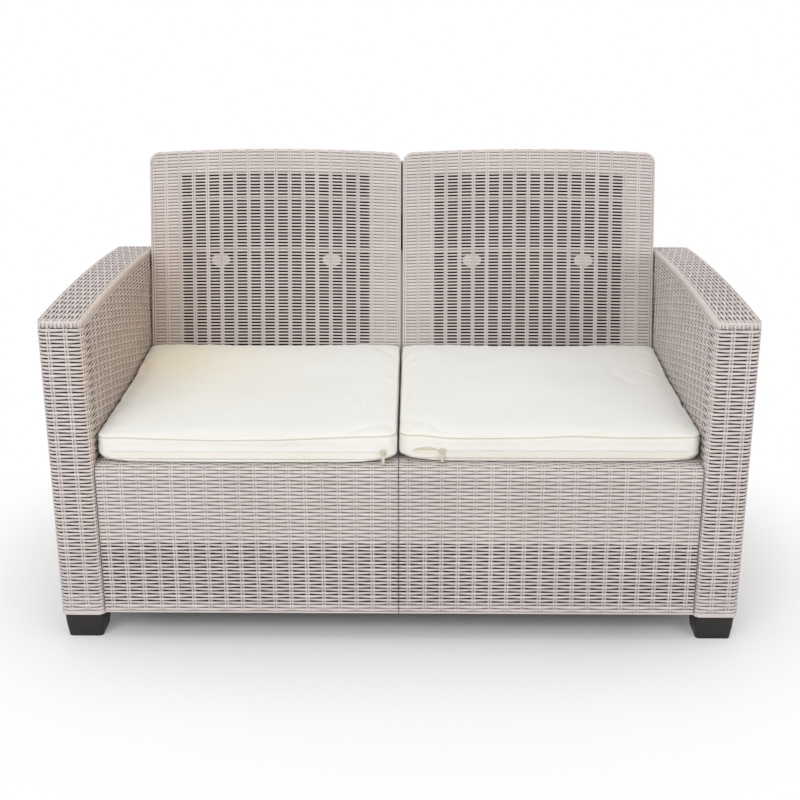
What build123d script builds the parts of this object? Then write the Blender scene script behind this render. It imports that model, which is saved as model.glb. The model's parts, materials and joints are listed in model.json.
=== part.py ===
"""Patio loveseat moulded in rattan-look resin: two arms, two seats, two backs and two loose cushions.

Millimetres. +X runs across the seat, -Y is the front, +Z is up. The origin is on the floor,
under the middle of the whole loveseat.
"""
from build123d import *
import os
from math import atan2, cos, degrees, hypot, radians, sin, tan

os.makedirs("parts", exist_ok=True)

# Overall size
overall_width = 1250.0
overall_depth = 690.0
overall_height = 812.0

# Walls and gaps that many pieces share
shell_wall = 4.0
rib_wall = 3.0
meet_gap = 0.3
thread_clearance = 0.05
hole_clearance = 0.4
cut_overrun = 10.0

# Arms
arm_thickness = 81.5
arm_depth = 680.0
arm_front_height = 610.0
arm_middle_height = 614.0
arm_rear_height = 597.0
arm_base_height = 48.0
arm_outer_round = 12.0
arm_inner_round = 14.0
arm_lip = 34.0
arm_tongue = 12.0
arm_rib_places_share = (-0.25, 0.25)
cap_height = 12.0
cap_edge_round = 4.0
cap_rim_depth = 8.0

# Feet
foot_inset = 4.5
foot_depth = 72.0
foot_corner_round = 7.0
foot_upper_draft = 1.5
foot_lower_draft = 4.5
foot_knee_share = 0.5
foot_screw_radius = 2.5
foot_screw_length = 46.0
foot_screw_head_radius = 5.0
foot_screw_head_height = 3.5
foot_recess_depth = 16.0
foot_boss_radius = 9.0
foot_boss_height = 26.0

# Seats: decks with flanges all round
deck_height = 343.0
seat_seam = 1.2
seat_side_flange = 60.0
seat_end_flange = 44.0
seat_rib_depth = 34.0
seat_rib_count = 4
ledge_reach = 14.0
ledge_height = 6.0
ledge_end_setback = 60.0

# Front aprons: a wall with a hem, a rounded nose, and a top lip screwed to the deck's front flange
apron_bottom_height = 52.0
apron_setback = 3.0
apron_round = 16.0
apron_hem = 14.0
apron_lip = 36.0

# Rear aprons, set in from the loveseat's rear
rear_apron_inset = 14.0

# Screws of the front and rear aprons
apron_screw_radius = 2.0
apron_screw_head_radius = 4.5
apron_screw_head_height = 2.2
apron_screw_length = 14.0
apron_screw_drop = 26.0
apron_screw_places_share = (0.15, 0.5, 0.85)

# Centre support
beam_width = 46.0
beam_height = 40.0
beam_wall = 3.0
beam_end_gap = 22.0
saddle_height = 34.0
leg_wall = 3.0
centre_foot_width = 56.0
centre_foot_height = 16.0
centre_foot_plug = 22.0
centre_foot_round = 5.0

# Bolts and nuts
bolt_radius = 3.0
bolt_head_radius = 6.5
bolt_head_height = 4.0
bolt_spare_length = 2.0
nut_radius = 5.8
nut_height = 5.0
side_bolt_drop = 30.0
side_bolt_places_share = (0.2, 0.5, 0.79)
centre_bolt_drop = 46.0

# Backs
back_lean = 13.5
back_depth = 22.0
back_cover_wall = 3.0
back_side_gap = 3.5
back_centre_gap = 4.0
back_bow = 6.0
back_top_arch = 9.0
back_corner_round = 20.0
back_rib_count = 3
back_boss_radius = 5.0
back_screw_radius = 1.75
back_screw_length = 14.0
back_screw_head_radius = 4.0
back_screw_head_height = 2.2
back_screw_edge = 16.0
back_screw_rows_share = (0.06, 0.5, 0.955)
pad_length = 44.0
pad_height = 33.0
pad_rise = 1.0
pad_spread = 120.0
pad_level = 246.0
tab_width = 60.0
tab_thickness = 12.0
tab_setback = 4.0
tab_length = 44.0
tab_spread = 150.0
tab_bolt_drop = 26.0
joining_plate_width = 64.0
joining_plate_height = 90.0
joining_plate_wall = 3.0
# Height of the plate's middle above the middle row of cover screws
joining_plate_level = 59.0
joining_screw_spread = 21.0
joining_screw_rise = 30.0

# Cushions: a boxing that is higher at the rear, drawn in at its two seams, under a crowned top
cushion_side_gap = 8.5
cushion_centre_gap = 8.0
cushion_front_setback = 18.0
# How much further back the right cushion's front lies than the left one's
cushion_right_setback = 9.0
cushion_back_gap = 2.0
cushion_front_boxing = 44.0
cushion_rear_boxing = 60.0
cushion_crown = 7.0
cushion_waist = 3.0
cushion_corner = 16.0
cushion_base_corner = 34.0
cushion_base_inset = 4.0
cushion_seam_corner = 20.0
cushion_seam_inset = 2.5
cushion_flat_shares = (0.2, 0.8)
cushion_crown_levels_share = (0.6, 1.0)
cushion_crown_insets_share = (0.06, 0.2)

# Zips on the front of the cushions
zip_level = 22.0
zip_end_margin = 2.0
zip_tape_width = 22.0
zip_tape_thickness = 0.8
zip_chain_width = 5.0
zip_chain_thickness = 1.8
slider_length = 9.0
slider_width = 9.0
slider_wall = 1.2
slider_clearance = 0.3
slider_end_gap = 1.0
zip_open_length = 56.0
bail_radius = 0.8
bail_gap = 0.06
bail_reach = 2.6
pull_width = 5.0
pull_thickness = 1.2
pull_length = 19.0
pull_eye_radius = 2.2
pull_eye_width = 2.4
ear_gap = 0.3
ear_wall = 1.0

# Places worked out from the sizes above
front_y = -overall_depth / 2
rear_y = overall_depth / 2
half_width = overall_width / 2
arm_inner_x = half_width - arm_thickness
arm_rear_y = front_y + arm_depth
arm_middle_y = (front_y + arm_rear_y) / 2
arm_middle_x = half_width - arm_thickness / 2
apron_y = front_y + apron_setback
apron_rear_y = apron_y + apron_lip + shell_wall
deck_front_y = apron_rear_y + meet_gap
deck_rear_y = rear_y - rear_apron_inset - shell_wall - meet_gap
seat_outer_x = arm_inner_x - meet_gap
seat_inner_x = seat_seam / 2
seat_width = seat_outer_x - seat_inner_x
back_height = (overall_height - deck_height - meet_gap) / cos(radians(back_lean))
back_base_y = rear_y - back_height * sin(radians(back_lean)) - back_depth * cos(radians(back_lean))
back_outer_x = arm_inner_x - back_side_gap
back_inner_x = back_centre_gap / 2
back_width = back_outer_x - back_inner_x
back_middle_x = (back_outer_x + back_inner_x) / 2
bow_radius = ((back_width / 2) ** 2 + back_bow ** 2) / (2 * back_bow)
beam_top = deck_height - seat_side_flange - meet_gap
side_bolt_height = deck_height - side_bolt_drop
saddle_inner_x = seat_inner_x + shell_wall + meet_gap
saddle_outer_x = saddle_inner_x + beam_wall
tab_rib_y = back_base_y + tab_setback + tab_thickness + hole_clearance
tab_rib_end_x = saddle_outer_x + nut_height + bolt_spare_length + meet_gap
joining_plate_up = back_screw_rows_share[1] * back_height + joining_plate_level
cushion_base = deck_height + meet_gap
cushion_front_y = front_y + cushion_front_setback
cushion_back_y = back_base_y - back_bow - cushion_back_gap
cushion_depth = cushion_back_y - cushion_front_y
cushion_outer_x = arm_inner_x - cushion_side_gap
cushion_inner_x = cushion_centre_gap / 2
cushion_middle_x = (cushion_outer_x + cushion_inner_x) / 2
cushion_width = cushion_outer_x - cushion_inner_x
zip_height = cushion_base + zip_level
zip_length = cushion_width - 2 * (cushion_corner + zip_end_margin)
slider_back_y = cushion_front_y - zip_tape_thickness - slider_clearance
slider_front_y = slider_back_y - zip_chain_thickness - slider_wall
bail_y = slider_front_y - bail_reach
bail_ear_x = pull_eye_width / 2 + ear_gap

arm_arch = ThreePointArc(
    (front_y, arm_front_height), (arm_middle_y, arm_middle_height), (arm_rear_y, arm_rear_height)
)


def block(x_low, x_high, y_low, y_high, z_low, z_high):
    """Upright block between two opposite corners."""
    centre = Pos((x_low + x_high) / 2, (y_low + y_high) / 2, (z_low + z_high) / 2)
    return centre * Box(x_high - x_low, y_high - y_low, z_high - z_low)


def rod(start, direction, radius, length):
    """Round bar from a start point along a direction."""
    return extrude(Plane(start, z_dir=direction) * Circle(radius), length)


def nut(start, direction):
    """Hexagon nut on a bolt, with its near face at the start point."""
    face = RegularPolygon(nut_radius, 6) - Circle(bolt_radius + thread_clearance)
    return extrude(Plane(start, z_dir=direction) * face, nut_height)


def bolt_and_nut(start, direction, grip):
    """Bolt whose head bears at the start point, with its nut a grip length further on."""
    along = Vector(*direction)
    head = rod(start, along * -1, bolt_head_radius, bolt_head_height)
    shank = rod(start, direction, bolt_radius, grip + nut_height + bolt_spare_length)
    return [head + shank, nut(Vector(*start) + along * grip, direction)]


def screw(start, direction, radius, length, head_radius, head_height):
    """Pan-head screw whose head bears at the start point."""
    head = rod(start, Vector(*direction) * -1, head_radius, head_height)
    return head + rod(start, direction, radius, length)


def mirrored(piece):
    """The same piece on the other side of the middle."""
    return mirror(piece, Plane.YZ)


def write(name, *pieces):
    """Write one named piece, or a group of like pieces, to its own file."""
    solids = [solid for piece in pieces for solid in piece.solids()]
    shape = solids[0] if len(solids) == 1 else Compound(children=solids)
    shape.label = name
    export_step(shape, f"parts/{name}.step")


def write_pair(name, *pieces):
    """Write a left piece as modelled and its mirror image as the right one."""
    write(f"{name}_left", *pieces)
    write(f"{name}_right", *[mirrored(piece) for piece in pieces])


def under_arch(drop):
    """Everything below the arm's long curve, lowered by a drop square to it."""
    centre = Pos(arm_arch.arc_center.X, arm_arch.arc_center.Y)
    disc = Plane.YZ * (centre * Circle(arm_arch.radius - drop))
    return extrude(disc, overall_width, both=True)


def arm_outline(inset):
    """Plan of the left arm, drawn in by an inset."""
    outline = Rectangle(arm_thickness, arm_depth)
    outer = outline.vertices().group_by(Axis.X)[0]
    outline = fillet(outer, arm_outer_round)
    inner = outline.vertices().group_by(Axis.X)[-1]
    outline = fillet(inner, arm_inner_round)
    if inset:
        outline = offset(outline, -inset)
    return Pos(-arm_middle_x, arm_middle_y) * outline


def arm_prism(inset, base_height):
    """Upright prism on the arm's plan, from a base to above the arm's top."""
    return extrude(Pos(0, 0, base_height) * arm_outline(inset), overall_height - base_height)


def foot_centres():
    """Plan centres of the two feet under the left arm, front then rear."""
    reach = foot_inset + foot_depth / 2
    return [(-arm_middle_x, front_y + reach), (-arm_middle_x, arm_rear_y - reach)]


def side_bolt_ys():
    """Places along the depth of the bolts that hold arm, seat and centre together."""
    return [front_y + share * arm_depth for share in side_bolt_places_share]


def tab_centres():
    """Places across the left back of its two locating tabs."""
    return [-back_middle_x + side * tab_spread for side in (-1, 1)]


def make_arm_shell():
    """Outer wall, pillar and rear post of the left arm, open on the seat side."""
    ring = arm_prism(0, arm_base_height) - arm_prism(shell_wall, arm_base_height + shell_wall)
    shell = ring & under_arch(cap_height + meet_gap)
    panel_gap = block(
        -arm_inner_x - shell_wall - cut_overrun, -arm_inner_x + cut_overrun,
        front_y + arm_lip, arm_rear_y - arm_lip, arm_base_height + shell_wall, overall_height,
    )
    shell -= panel_gap
    rib_top = arm_rear_height - cap_height - cap_rim_depth - cut_overrun
    for share in arm_rib_places_share:
        rib_y = arm_middle_y + share * arm_depth
        shell += block(
            -half_width + shell_wall / 2, -arm_inner_x - shell_wall * 2 - rib_wall,
            rib_y, rib_y + rib_wall, arm_base_height + shell_wall / 2, rib_top,
        )
    for foot_x, foot_y in foot_centres():
        boss_base = (foot_x, foot_y, arm_base_height + shell_wall / 2)
        shell += rod(boss_base, (0, 0, 1), foot_boss_radius, foot_boss_height)
        shell -= rod(
            (foot_x, foot_y, arm_base_height - cut_overrun), (0, 0, 1),
            foot_screw_radius + thread_clearance, foot_screw_length + cut_overrun,
        )
    return shell


def make_arm_panel():
    """Inner wall of the left arm with its side tongues and the ledge that carries the seat."""
    low = arm_base_height + shell_wall + meet_gap
    front = front_y + arm_lip + meet_gap
    rear = arm_rear_y - arm_lip - meet_gap
    panel = block(-arm_inner_x - shell_wall, -arm_inner_x, front, rear, low, overall_height)
    panel &= under_arch(cap_height + meet_gap)
    tongue_top = arm_rear_height - cap_height - cap_rim_depth - cut_overrun
    back_face = -arm_inner_x - shell_wall
    for edge, side in ((front, -1), (rear, 1)):
        ys = sorted((edge - side * arm_tongue, edge + side * (arm_tongue + meet_gap)))
        strip = block(back_face - meet_gap - rib_wall, back_face - meet_gap, ys[0], ys[1], low, tongue_top)
        ys = sorted((edge - side * arm_tongue, edge))
        root = block(back_face - meet_gap - rib_wall, back_face + rib_wall / 2, ys[0], ys[1], low, tongue_top)
        panel += strip + root
    ledge_top = deck_height - seat_side_flange - meet_gap
    panel += block(
        -arm_inner_x - shell_wall / 2, -arm_inner_x + ledge_reach,
        front_y + ledge_end_setback, arm_rear_y - ledge_end_setback,
        ledge_top - ledge_height, ledge_top,
    )
    for bolt_y in side_bolt_ys():
        panel -= rod(
            (-arm_inner_x - shell_wall - cut_overrun, bolt_y, side_bolt_height), (1, 0, 0),
            bolt_radius + hole_clearance, shell_wall + 2 * cut_overrun,
        )
    return panel


def make_arm_cap():
    """Arched top cap of the left arm with the rim that locates it in the shell."""
    cap = (arm_prism(0, arm_base_height) & under_arch(0)) - under_arch(cap_height)
    top_face = cap.faces().sort_by(Axis.Z)[-1]
    cap = fillet(top_face.edges(), cap_edge_round)
    rim_outer = shell_wall + meet_gap
    rim = arm_prism(rim_outer, arm_base_height) - arm_prism(rim_outer + rib_wall, arm_base_height)
    rim = (rim & under_arch(cap_height - shell_wall)) - under_arch(cap_height + cap_rim_depth)
    return cap + rim


def make_foot(centre):
    """Tapered foot with the recess and bore for its screw."""
    top = arm_base_height - meet_gap
    width = arm_thickness - 2 * foot_inset
    levels = (
        (0.0, foot_lower_draft),
        (top * foot_knee_share, foot_upper_draft),
        (top, 0.0),
    )
    sections = [
        Pos(0, 0, level) * RectangleRounded(width - 2 * draft, foot_depth - 2 * draft, foot_corner_round)
        for level, draft in levels
    ]
    foot = loft(sections, ruled=True)
    recess_top = foot_recess_depth
    foot -= rod((0, 0, -cut_overrun), (0, 0, 1), foot_screw_radius + hole_clearance, top + 2 * cut_overrun)
    foot -= rod(
        (0, 0, -cut_overrun), (0, 0, 1), foot_screw_head_radius + hole_clearance, recess_top + cut_overrun
    )
    return Pos(centre[0], centre[1]) * foot


def make_foot_screw(centre):
    """Screw that holds a foot, with its head at the top of the foot's recess."""
    start = (centre[0], centre[1], foot_recess_depth)
    return screw(
        start, (0, 0, 1), foot_screw_radius, foot_screw_length, foot_screw_head_radius, foot_screw_head_height
    )


def seat_section():
    """Side outline of a seat: the deck with a front and a rear flange."""
    low = deck_height - seat_end_flange
    under = deck_height - shell_wall
    points = [
        (deck_front_y, low),
        (deck_front_y, deck_height),
        (deck_rear_y, deck_height),
        (deck_rear_y, low),
        (deck_rear_y - shell_wall, low),
        (deck_rear_y - shell_wall, under),
        (deck_front_y + shell_wall, under),
        (deck_front_y + shell_wall, low),
    ]
    return make_face(Polyline(*points, close=True))


def make_seat():
    """Left seat: deck, flanges and the ribs under the deck."""
    shell = extrude(Plane.YZ * seat_section(), seat_width)
    seat = Pos(-seat_outer_x, 0, 0) * shell
    flange_top = deck_height - shell_wall / 2
    flange_low = deck_height - seat_side_flange
    flange_front = deck_front_y + shell_wall / 2
    flange_rear = deck_rear_y - shell_wall / 2
    for side_x in (-seat_outer_x, -seat_inner_x - shell_wall):
        seat += block(side_x, side_x + shell_wall, flange_front, flange_rear, flange_low, flange_top)
    rib_low = deck_height - shell_wall - seat_rib_depth
    pitch = seat_width / (seat_rib_count + 1)
    for number in range(seat_rib_count):
        rib_x = -seat_outer_x + pitch * (number + 1) - rib_wall / 2
        seat += block(rib_x, rib_x + rib_wall, flange_front, flange_rear, rib_low, flange_top)
    tab_rib_low = deck_height - tab_length - shell_wall
    seat += block(
        -seat_outer_x + shell_wall / 2, -tab_rib_end_x,
        tab_rib_y, tab_rib_y + rib_wall, tab_rib_low, flange_top,
    )
    for tab_x in tab_centres():
        reach = tab_width / 2 + hole_clearance
        seat -= block(
            tab_x - reach, tab_x + reach,
            back_base_y + tab_setback - hole_clearance, tab_rib_y,
            rib_low - cut_overrun, deck_height + cut_overrun,
        )
        seat -= rod(
            (tab_x, tab_rib_y - cut_overrun, deck_height - tab_bolt_drop), (0, 1, 0),
            bolt_radius + hole_clearance, rib_wall + 2 * cut_overrun,
        )
    for bolt_y in side_bolt_ys():
        flanges = ((-seat_outer_x, side_bolt_drop), (-seat_inner_x - shell_wall, centre_bolt_drop))
        for flange_x, drop in flanges:
            seat -= rod(
                (flange_x - shell_wall, bolt_y, deck_height - drop), (1, 0, 0),
                bolt_radius + hole_clearance, 3 * shell_wall,
            )
    for screw_x in apron_screw_xs():
        screw_height = deck_height - apron_screw_drop
        seat -= rod(
            (screw_x, deck_rear_y - 2 * shell_wall, screw_height), (0, 1, 0),
            apron_screw_radius + thread_clearance, 3 * shell_wall,
        )
        seat -= rod(
            (screw_x, deck_front_y - shell_wall, screw_height), (0, 1, 0),
            apron_screw_radius + hole_clearance, 3 * shell_wall,
        )
    return seat


def apron_section():
    """Side outline of a front apron: hem, wall, rounded nose, top lip and the flange that is screwed on."""
    points = [
        (apron_y, apron_bottom_height),
        (apron_y, deck_height),
        (apron_rear_y, deck_height),
        (apron_rear_y, deck_height - seat_end_flange),
        (apron_rear_y - shell_wall, deck_height - seat_end_flange),
        (apron_rear_y - shell_wall, deck_height - shell_wall),
        (apron_y + shell_wall, deck_height - shell_wall),
        (apron_y + shell_wall, apron_bottom_height + shell_wall),
        (apron_y + apron_hem, apron_bottom_height + shell_wall),
        (apron_y + apron_hem, apron_bottom_height),
    ]
    face = make_face(Polyline(*points, close=True))
    nose = face.vertices().sort_by_distance((apron_y, deck_height))[0]
    face = fillet(nose, apron_round)
    inner_corner = (apron_y + shell_wall, deck_height - shell_wall)
    inner_nose = face.vertices().sort_by_distance(inner_corner)[0]
    return fillet(inner_nose, apron_round - shell_wall)


def make_front_apron():
    """Left front apron."""
    apron = Pos(-seat_outer_x, 0, 0) * extrude(Plane.YZ * apron_section(), seat_width)
    for screw_x in apron_screw_xs():
        apron -= rod(
            (screw_x, apron_rear_y - 2 * shell_wall, deck_height - apron_screw_drop), (0, 1, 0),
            apron_screw_radius + thread_clearance, 3 * shell_wall,
        )
    return apron


def apron_screw_xs():
    """Places across the left seat of the screws that hold its two aprons."""
    return [-seat_outer_x + share * seat_width for share in apron_screw_places_share]


def make_rear_apron():
    """Left rear apron, hung on the seat's rear flange, with a stiffening hem along its foot."""
    low_y = deck_rear_y + meet_gap
    apron = block(
        -seat_outer_x, -seat_inner_x, low_y, low_y + shell_wall, apron_bottom_height, deck_height
    )
    apron += block(
        -seat_outer_x, -seat_inner_x, low_y + shell_wall - apron_hem, low_y + shell_wall / 2,
        apron_bottom_height, apron_bottom_height + shell_wall,
    )
    for screw_x in apron_screw_xs():
        apron -= rod(
            (screw_x, low_y - shell_wall, deck_height - apron_screw_drop), (0, 1, 0),
            apron_screw_radius + hole_clearance, 3 * shell_wall,
        )
    return apron


def make_apron_screw(screw_x, bearing_y):
    """Forward-pointing screw through one flange and into the next."""
    start = (screw_x, bearing_y, deck_height - apron_screw_drop)
    return screw(
        start, (0, -1, 0), apron_screw_radius, apron_screw_length,
        apron_screw_head_radius, apron_screw_head_height,
    )


def make_centre_beam():
    """Channel under the joint of the two seats, with ears that grip their flanges."""
    low_y = deck_front_y + shell_wall + beam_end_gap
    high_y = deck_rear_y - shell_wall - beam_end_gap
    beam = block(-beam_width / 2, beam_width / 2, low_y, high_y, beam_top - beam_height, beam_top)
    beam -= block(
        -beam_width / 2 + beam_wall, beam_width / 2 - beam_wall, low_y - cut_overrun, high_y + cut_overrun,
        beam_top - beam_height - cut_overrun, beam_top - beam_wall,
    )
    for side in (-1, 1):
        xs = sorted((side * saddle_inner_x, side * saddle_outer_x))
        beam += block(xs[0], xs[1], low_y, high_y, beam_top - beam_wall / 2, beam_top + saddle_height)
    for bolt_y in side_bolt_ys():
        beam -= rod(
            (-beam_width, bolt_y, deck_height - centre_bolt_drop), (1, 0, 0),
            bolt_radius + hole_clearance, 2 * beam_width,
        )
    beam -= rod(
        (-beam_width, 0, beam_top - beam_height / 2), (1, 0, 0), bolt_radius + hole_clearance, 2 * beam_width
    )
    return beam


def make_centre_leg():
    """Square tube that stands inside the beam and takes its load to the floor."""
    width = beam_width - 2 * beam_wall - 2 * meet_gap
    top = beam_top - beam_wall - meet_gap
    leg = block(-width / 2, width / 2, -width / 2, width / 2, centre_foot_height, top)
    inner = width / 2 - leg_wall
    leg -= block(-inner, inner, -inner, inner, centre_foot_height - cut_overrun, top + cut_overrun)
    leg -= rod((-width, 0, beam_top - beam_height / 2), (1, 0, 0), bolt_radius + hole_clearance, 2 * width)
    return leg


def make_centre_foot():
    """Foot under the centre leg, plugged into the tube."""
    base = RectangleRounded(centre_foot_width, centre_foot_width, centre_foot_round)
    foot = extrude(base, centre_foot_height)
    plug = beam_width - 2 * beam_wall - 4 * meet_gap - 2 * leg_wall
    foot += extrude(
        Pos(0, 0, centre_foot_height) * RectangleRounded(plug, plug, centre_foot_round), centre_foot_plug
    )
    return foot


def back_outline(inset):
    """Front view of a back: straight sides, arched top and rounded top corners."""
    half = back_width / 2
    side_top = back_height - back_top_arch
    low = -back_depth
    edges = [
        Line((-half, low), (half, low)),
        Line((half, low), (half, side_top)),
        ThreePointArc((half, side_top), (0, back_height), (-half, side_top)),
        Line((-half, side_top), (-half, low)),
    ]
    face = make_face(Curve() + edges)
    corners = face.vertices().group_by(Axis.Y)[-1]
    face = fillet(corners, back_corner_round)
    if inset:
        face = offset(face, -inset)
        face = face & (Pos(0, back_height) * Rectangle(back_width, 2 * (back_height - inset)))
    return face


def back_prism(inset, y_low, y_high):
    """The back's front view, run through the depth between two places."""
    face = Plane((0, y_high, 0), x_dir=(1, 0, 0), z_dir=(0, -1, 0)) * back_outline(inset)
    return extrude(face, y_high - y_low)


def bow_cylinder(radius):
    """Round volume in front of the bowed face of a back."""
    return extrude(Pos(0, -bow_radius, -overall_height) * Circle(radius), 3 * overall_height)


def bow_y(across):
    """Depth of the bowed front face at a place across the back."""
    return (bow_radius ** 2 - across ** 2) ** 0.5 - bow_radius


def back_screw_places():
    """Screw places on a back, across and up."""
    across = back_width / 2 - back_screw_edge
    return [(side * across, share * back_height) for side in (-1, 0, 1) for share in back_screw_rows_share]


def lean_back(piece):
    """Set a piece drawn upright onto the left back's place and lean."""
    return Pos(-back_middle_x, back_base_y, deck_height + meet_gap) * (Rot(-back_lean, 0, 0) * piece)


def above_deck(piece):
    """Trim a leaning piece level with the deck that it stands on."""
    return piece - block(
        -half_width, half_width, front_y, rear_y, deck_height - 3 * back_depth, deck_height + meet_gap
    )


def make_back_front():
    """Left back: bowed front wall, rim, ribs, screw bosses, two filled pads and two tabs."""
    tray_depth = back_depth - back_cover_wall - meet_gap
    tray = back_prism(0, -2 * back_bow, tray_depth) - bow_cylinder(bow_radius)
    hollow = back_prism(shell_wall, -2 * back_bow, back_depth) - bow_cylinder(bow_radius + shell_wall)
    tray -= hollow
    inner_top = back_height - back_top_arch - shell_wall
    pitch = back_width / (back_rib_count + 1)
    for number in range(back_rib_count):
        rib_x = -back_width / 2 + pitch * (number + 1) - rib_wall / 2
        front = bow_y(abs(rib_x) + rib_wall) + shell_wall / 2
        tray += block(rib_x, rib_x + rib_wall, front, tray_depth, shell_wall / 2, inner_top)
    for across, up in back_screw_places():
        front = bow_y(across) + shell_wall / 2
        tray += rod((across, front, up), (0, 1, 0), back_boss_radius, tray_depth - front)
        tray -= rod(
            (across, tray_depth + cut_overrun, up), (0, -1, 0), back_screw_radius + thread_clearance,
            back_screw_length - back_cover_wall - meet_gap + cut_overrun + thread_clearance,
        )
    for side in (-1, 1):
        pad_front = bow_y(pad_spread) - pad_rise
        pad = Plane((side * pad_spread, pad_front, pad_level), x_dir=(1, 0, 0), z_dir=(0, -1, 0)) * Ellipse(
            pad_length / 2, pad_height / 2
        )
        tray += extrude(pad, -(pad_rise + shell_wall / 2))
    tray = above_deck(lean_back(tray))
    for tab_x in tab_centres():
        tab = block(
            tab_x - tab_width / 2, tab_x + tab_width / 2,
            back_base_y + tab_setback, back_base_y + tab_setback + tab_thickness,
            deck_height - tab_length, deck_height + shell_wall,
        )
        tab -= rod(
            (tab_x, back_base_y - cut_overrun, deck_height - tab_bolt_drop), (0, 1, 0),
            bolt_radius + hole_clearance, back_depth + 2 * cut_overrun,
        )
        tray += tab
    return tray


def make_back_cover():
    """Rear cover of the left back."""
    cover = back_prism(0, back_depth - back_cover_wall, back_depth)
    for across, up in back_screw_places():
        cover -= rod(
            (across, 0, up), (0, 1, 0), back_screw_radius + hole_clearance, back_depth + cut_overrun
        )
    for up in joining_screw_levels():
        cover -= rod(
            (joining_screw_across(), 0, up), (0, 1, 0),
            back_screw_radius + thread_clearance, back_depth + cut_overrun,
        )
    return above_deck(lean_back(cover))


def make_back_screws():
    """Screws that hold the left back's cover."""
    return [
        lean_back(screw(
            (across, back_depth, up), (0, -1, 0),
            back_screw_radius, back_screw_length, back_screw_head_radius, back_screw_head_height,
        ))
        for across, up in back_screw_places()
    ]


def joining_screw_across():
    """Place across the left back of the joining plate's screws."""
    return back_middle_x - joining_screw_spread


def joining_screw_levels():
    """Heights along the lean of the joining plate's screws."""
    return [joining_plate_up + side * joining_screw_rise for side in (-1, 1)]


def make_joining_plate():
    """Plate behind the two backs that keeps them in line."""
    half = joining_plate_width / 2
    plate_front = back_depth + meet_gap
    plate = block(
        back_middle_x - half, back_middle_x + half, plate_front, plate_front + joining_plate_wall,
        joining_plate_up - joining_plate_height / 2, joining_plate_up + joining_plate_height / 2,
    )
    for up in joining_screw_levels():
        for side in (-1, 1):
            plate -= rod(
                (back_middle_x + side * joining_screw_spread, 0, up), (0, 1, 0),
                back_screw_radius + hole_clearance, 2 * back_depth,
            )
    return lean_back(plate)


def make_joining_screws():
    """Screws of the left half of the joining plate."""
    start_y = back_depth + meet_gap + joining_plate_wall
    length = joining_plate_wall + meet_gap + back_cover_wall
    return [
        lean_back(screw(
            (joining_screw_across(), start_y, up), (0, -1, 0),
            back_screw_radius, length, back_screw_head_radius, back_screw_head_height,
        ))
        for up in joining_screw_levels()
    ]


def cushion_plan(width, depth, corner):
    """Plan of a cushion: rounded corners with sides drawn in between them."""
    half = width / 2
    waist = half - cushion_waist
    edges = [
        Line((-half, -depth / 2), (half, -depth / 2)),
        ThreePointArc((half, -depth / 2), (waist, 0), (half, depth / 2)),
        Line((half, depth / 2), (-half, depth / 2)),
        ThreePointArc((-half, depth / 2), (-waist, 0), (-half, -depth / 2)),
    ]
    return fillet(make_face(Curve() + edges).vertices(), corner)


def cushion_section(setback, boxing_share, rise, inset, corner):
    """One level of a cushion on the left: its plan, sloping with the boxing and reaching to the leaning back."""
    front_level = cushion_front_boxing * boxing_share + rise
    rear_level = cushion_rear_boxing * boxing_share + rise
    depth = cushion_depth - setback + rear_level * tan(radians(back_lean))
    slope = rear_level - front_level
    plan = cushion_plan(cushion_width - 2 * inset, hypot(depth, slope) - 2 * inset, corner)
    middle_y = cushion_front_y + setback + depth / 2
    middle = (-cushion_middle_x, middle_y, cushion_base + (front_level + rear_level) / 2)
    return Pos(*middle) * (Rot(degrees(atan2(slope, depth)), 0, 0) * plan)


def make_cushion(setback):
    """Cushion on the left: seams drawn in above and below an upright boxing, and a crowned top."""
    sections = [cushion_section(setback, 0, 0, cushion_base_inset, cushion_base_corner)]
    sections += [cushion_section(setback, share, 0, 0, cushion_corner) for share in cushion_flat_shares]
    sections.append(cushion_section(setback, 1, 0, cushion_seam_inset, cushion_seam_corner))
    for level_share, inset_share in zip(cushion_crown_levels_share, cushion_crown_insets_share):
        rise, inset = cushion_crown * level_share, cushion_width * inset_share
        sections.append(cushion_section(setback, 1, rise, inset, cushion_base_corner))
    return loft(sections, ruled=True)


def make_zip_tape():
    """Zip tape sewn to the left cushion's front, with its closed chain standing proud."""
    low_x = -cushion_middle_x - zip_length / 2
    tape = block(
        low_x, low_x + zip_length, cushion_front_y - zip_tape_thickness, cushion_front_y,
        zip_height - zip_tape_width / 2, zip_height + zip_tape_width / 2,
    )
    return tape + block(
        low_x, low_x + zip_length,
        cushion_front_y - zip_tape_thickness - zip_chain_thickness, cushion_front_y - zip_tape_thickness / 2,
        zip_height - zip_chain_width / 2, zip_height + zip_chain_width / 2,
    )


def make_slider(slider_x):
    """Zip slider over the chain, with two ears and the bar that holds the pull."""
    half = slider_length / 2
    body = block(
        slider_x - half, slider_x + half, slider_front_y, slider_back_y,
        zip_height - slider_width / 2, zip_height + slider_width / 2,
    )
    channel = zip_chain_width / 2 + slider_clearance
    body -= block(
        slider_x - slider_length, slider_x + slider_length,
        slider_front_y + slider_wall, slider_back_y + cut_overrun,
        zip_height - channel, zip_height + channel,
    )
    for side in (-1, 1):
        xs = sorted((slider_x + side * bail_ear_x, slider_x + side * (bail_ear_x + ear_wall)))
        body += block(
            xs[0], xs[1], bail_y - bail_radius, slider_front_y + slider_wall / 2,
            zip_height - bail_radius, zip_height + bail_radius,
        )
    reach = bail_ear_x + ear_wall / 2
    return body + rod((slider_x - reach, bail_y, zip_height), (1, 0, 0), bail_radius, 2 * reach)


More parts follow.
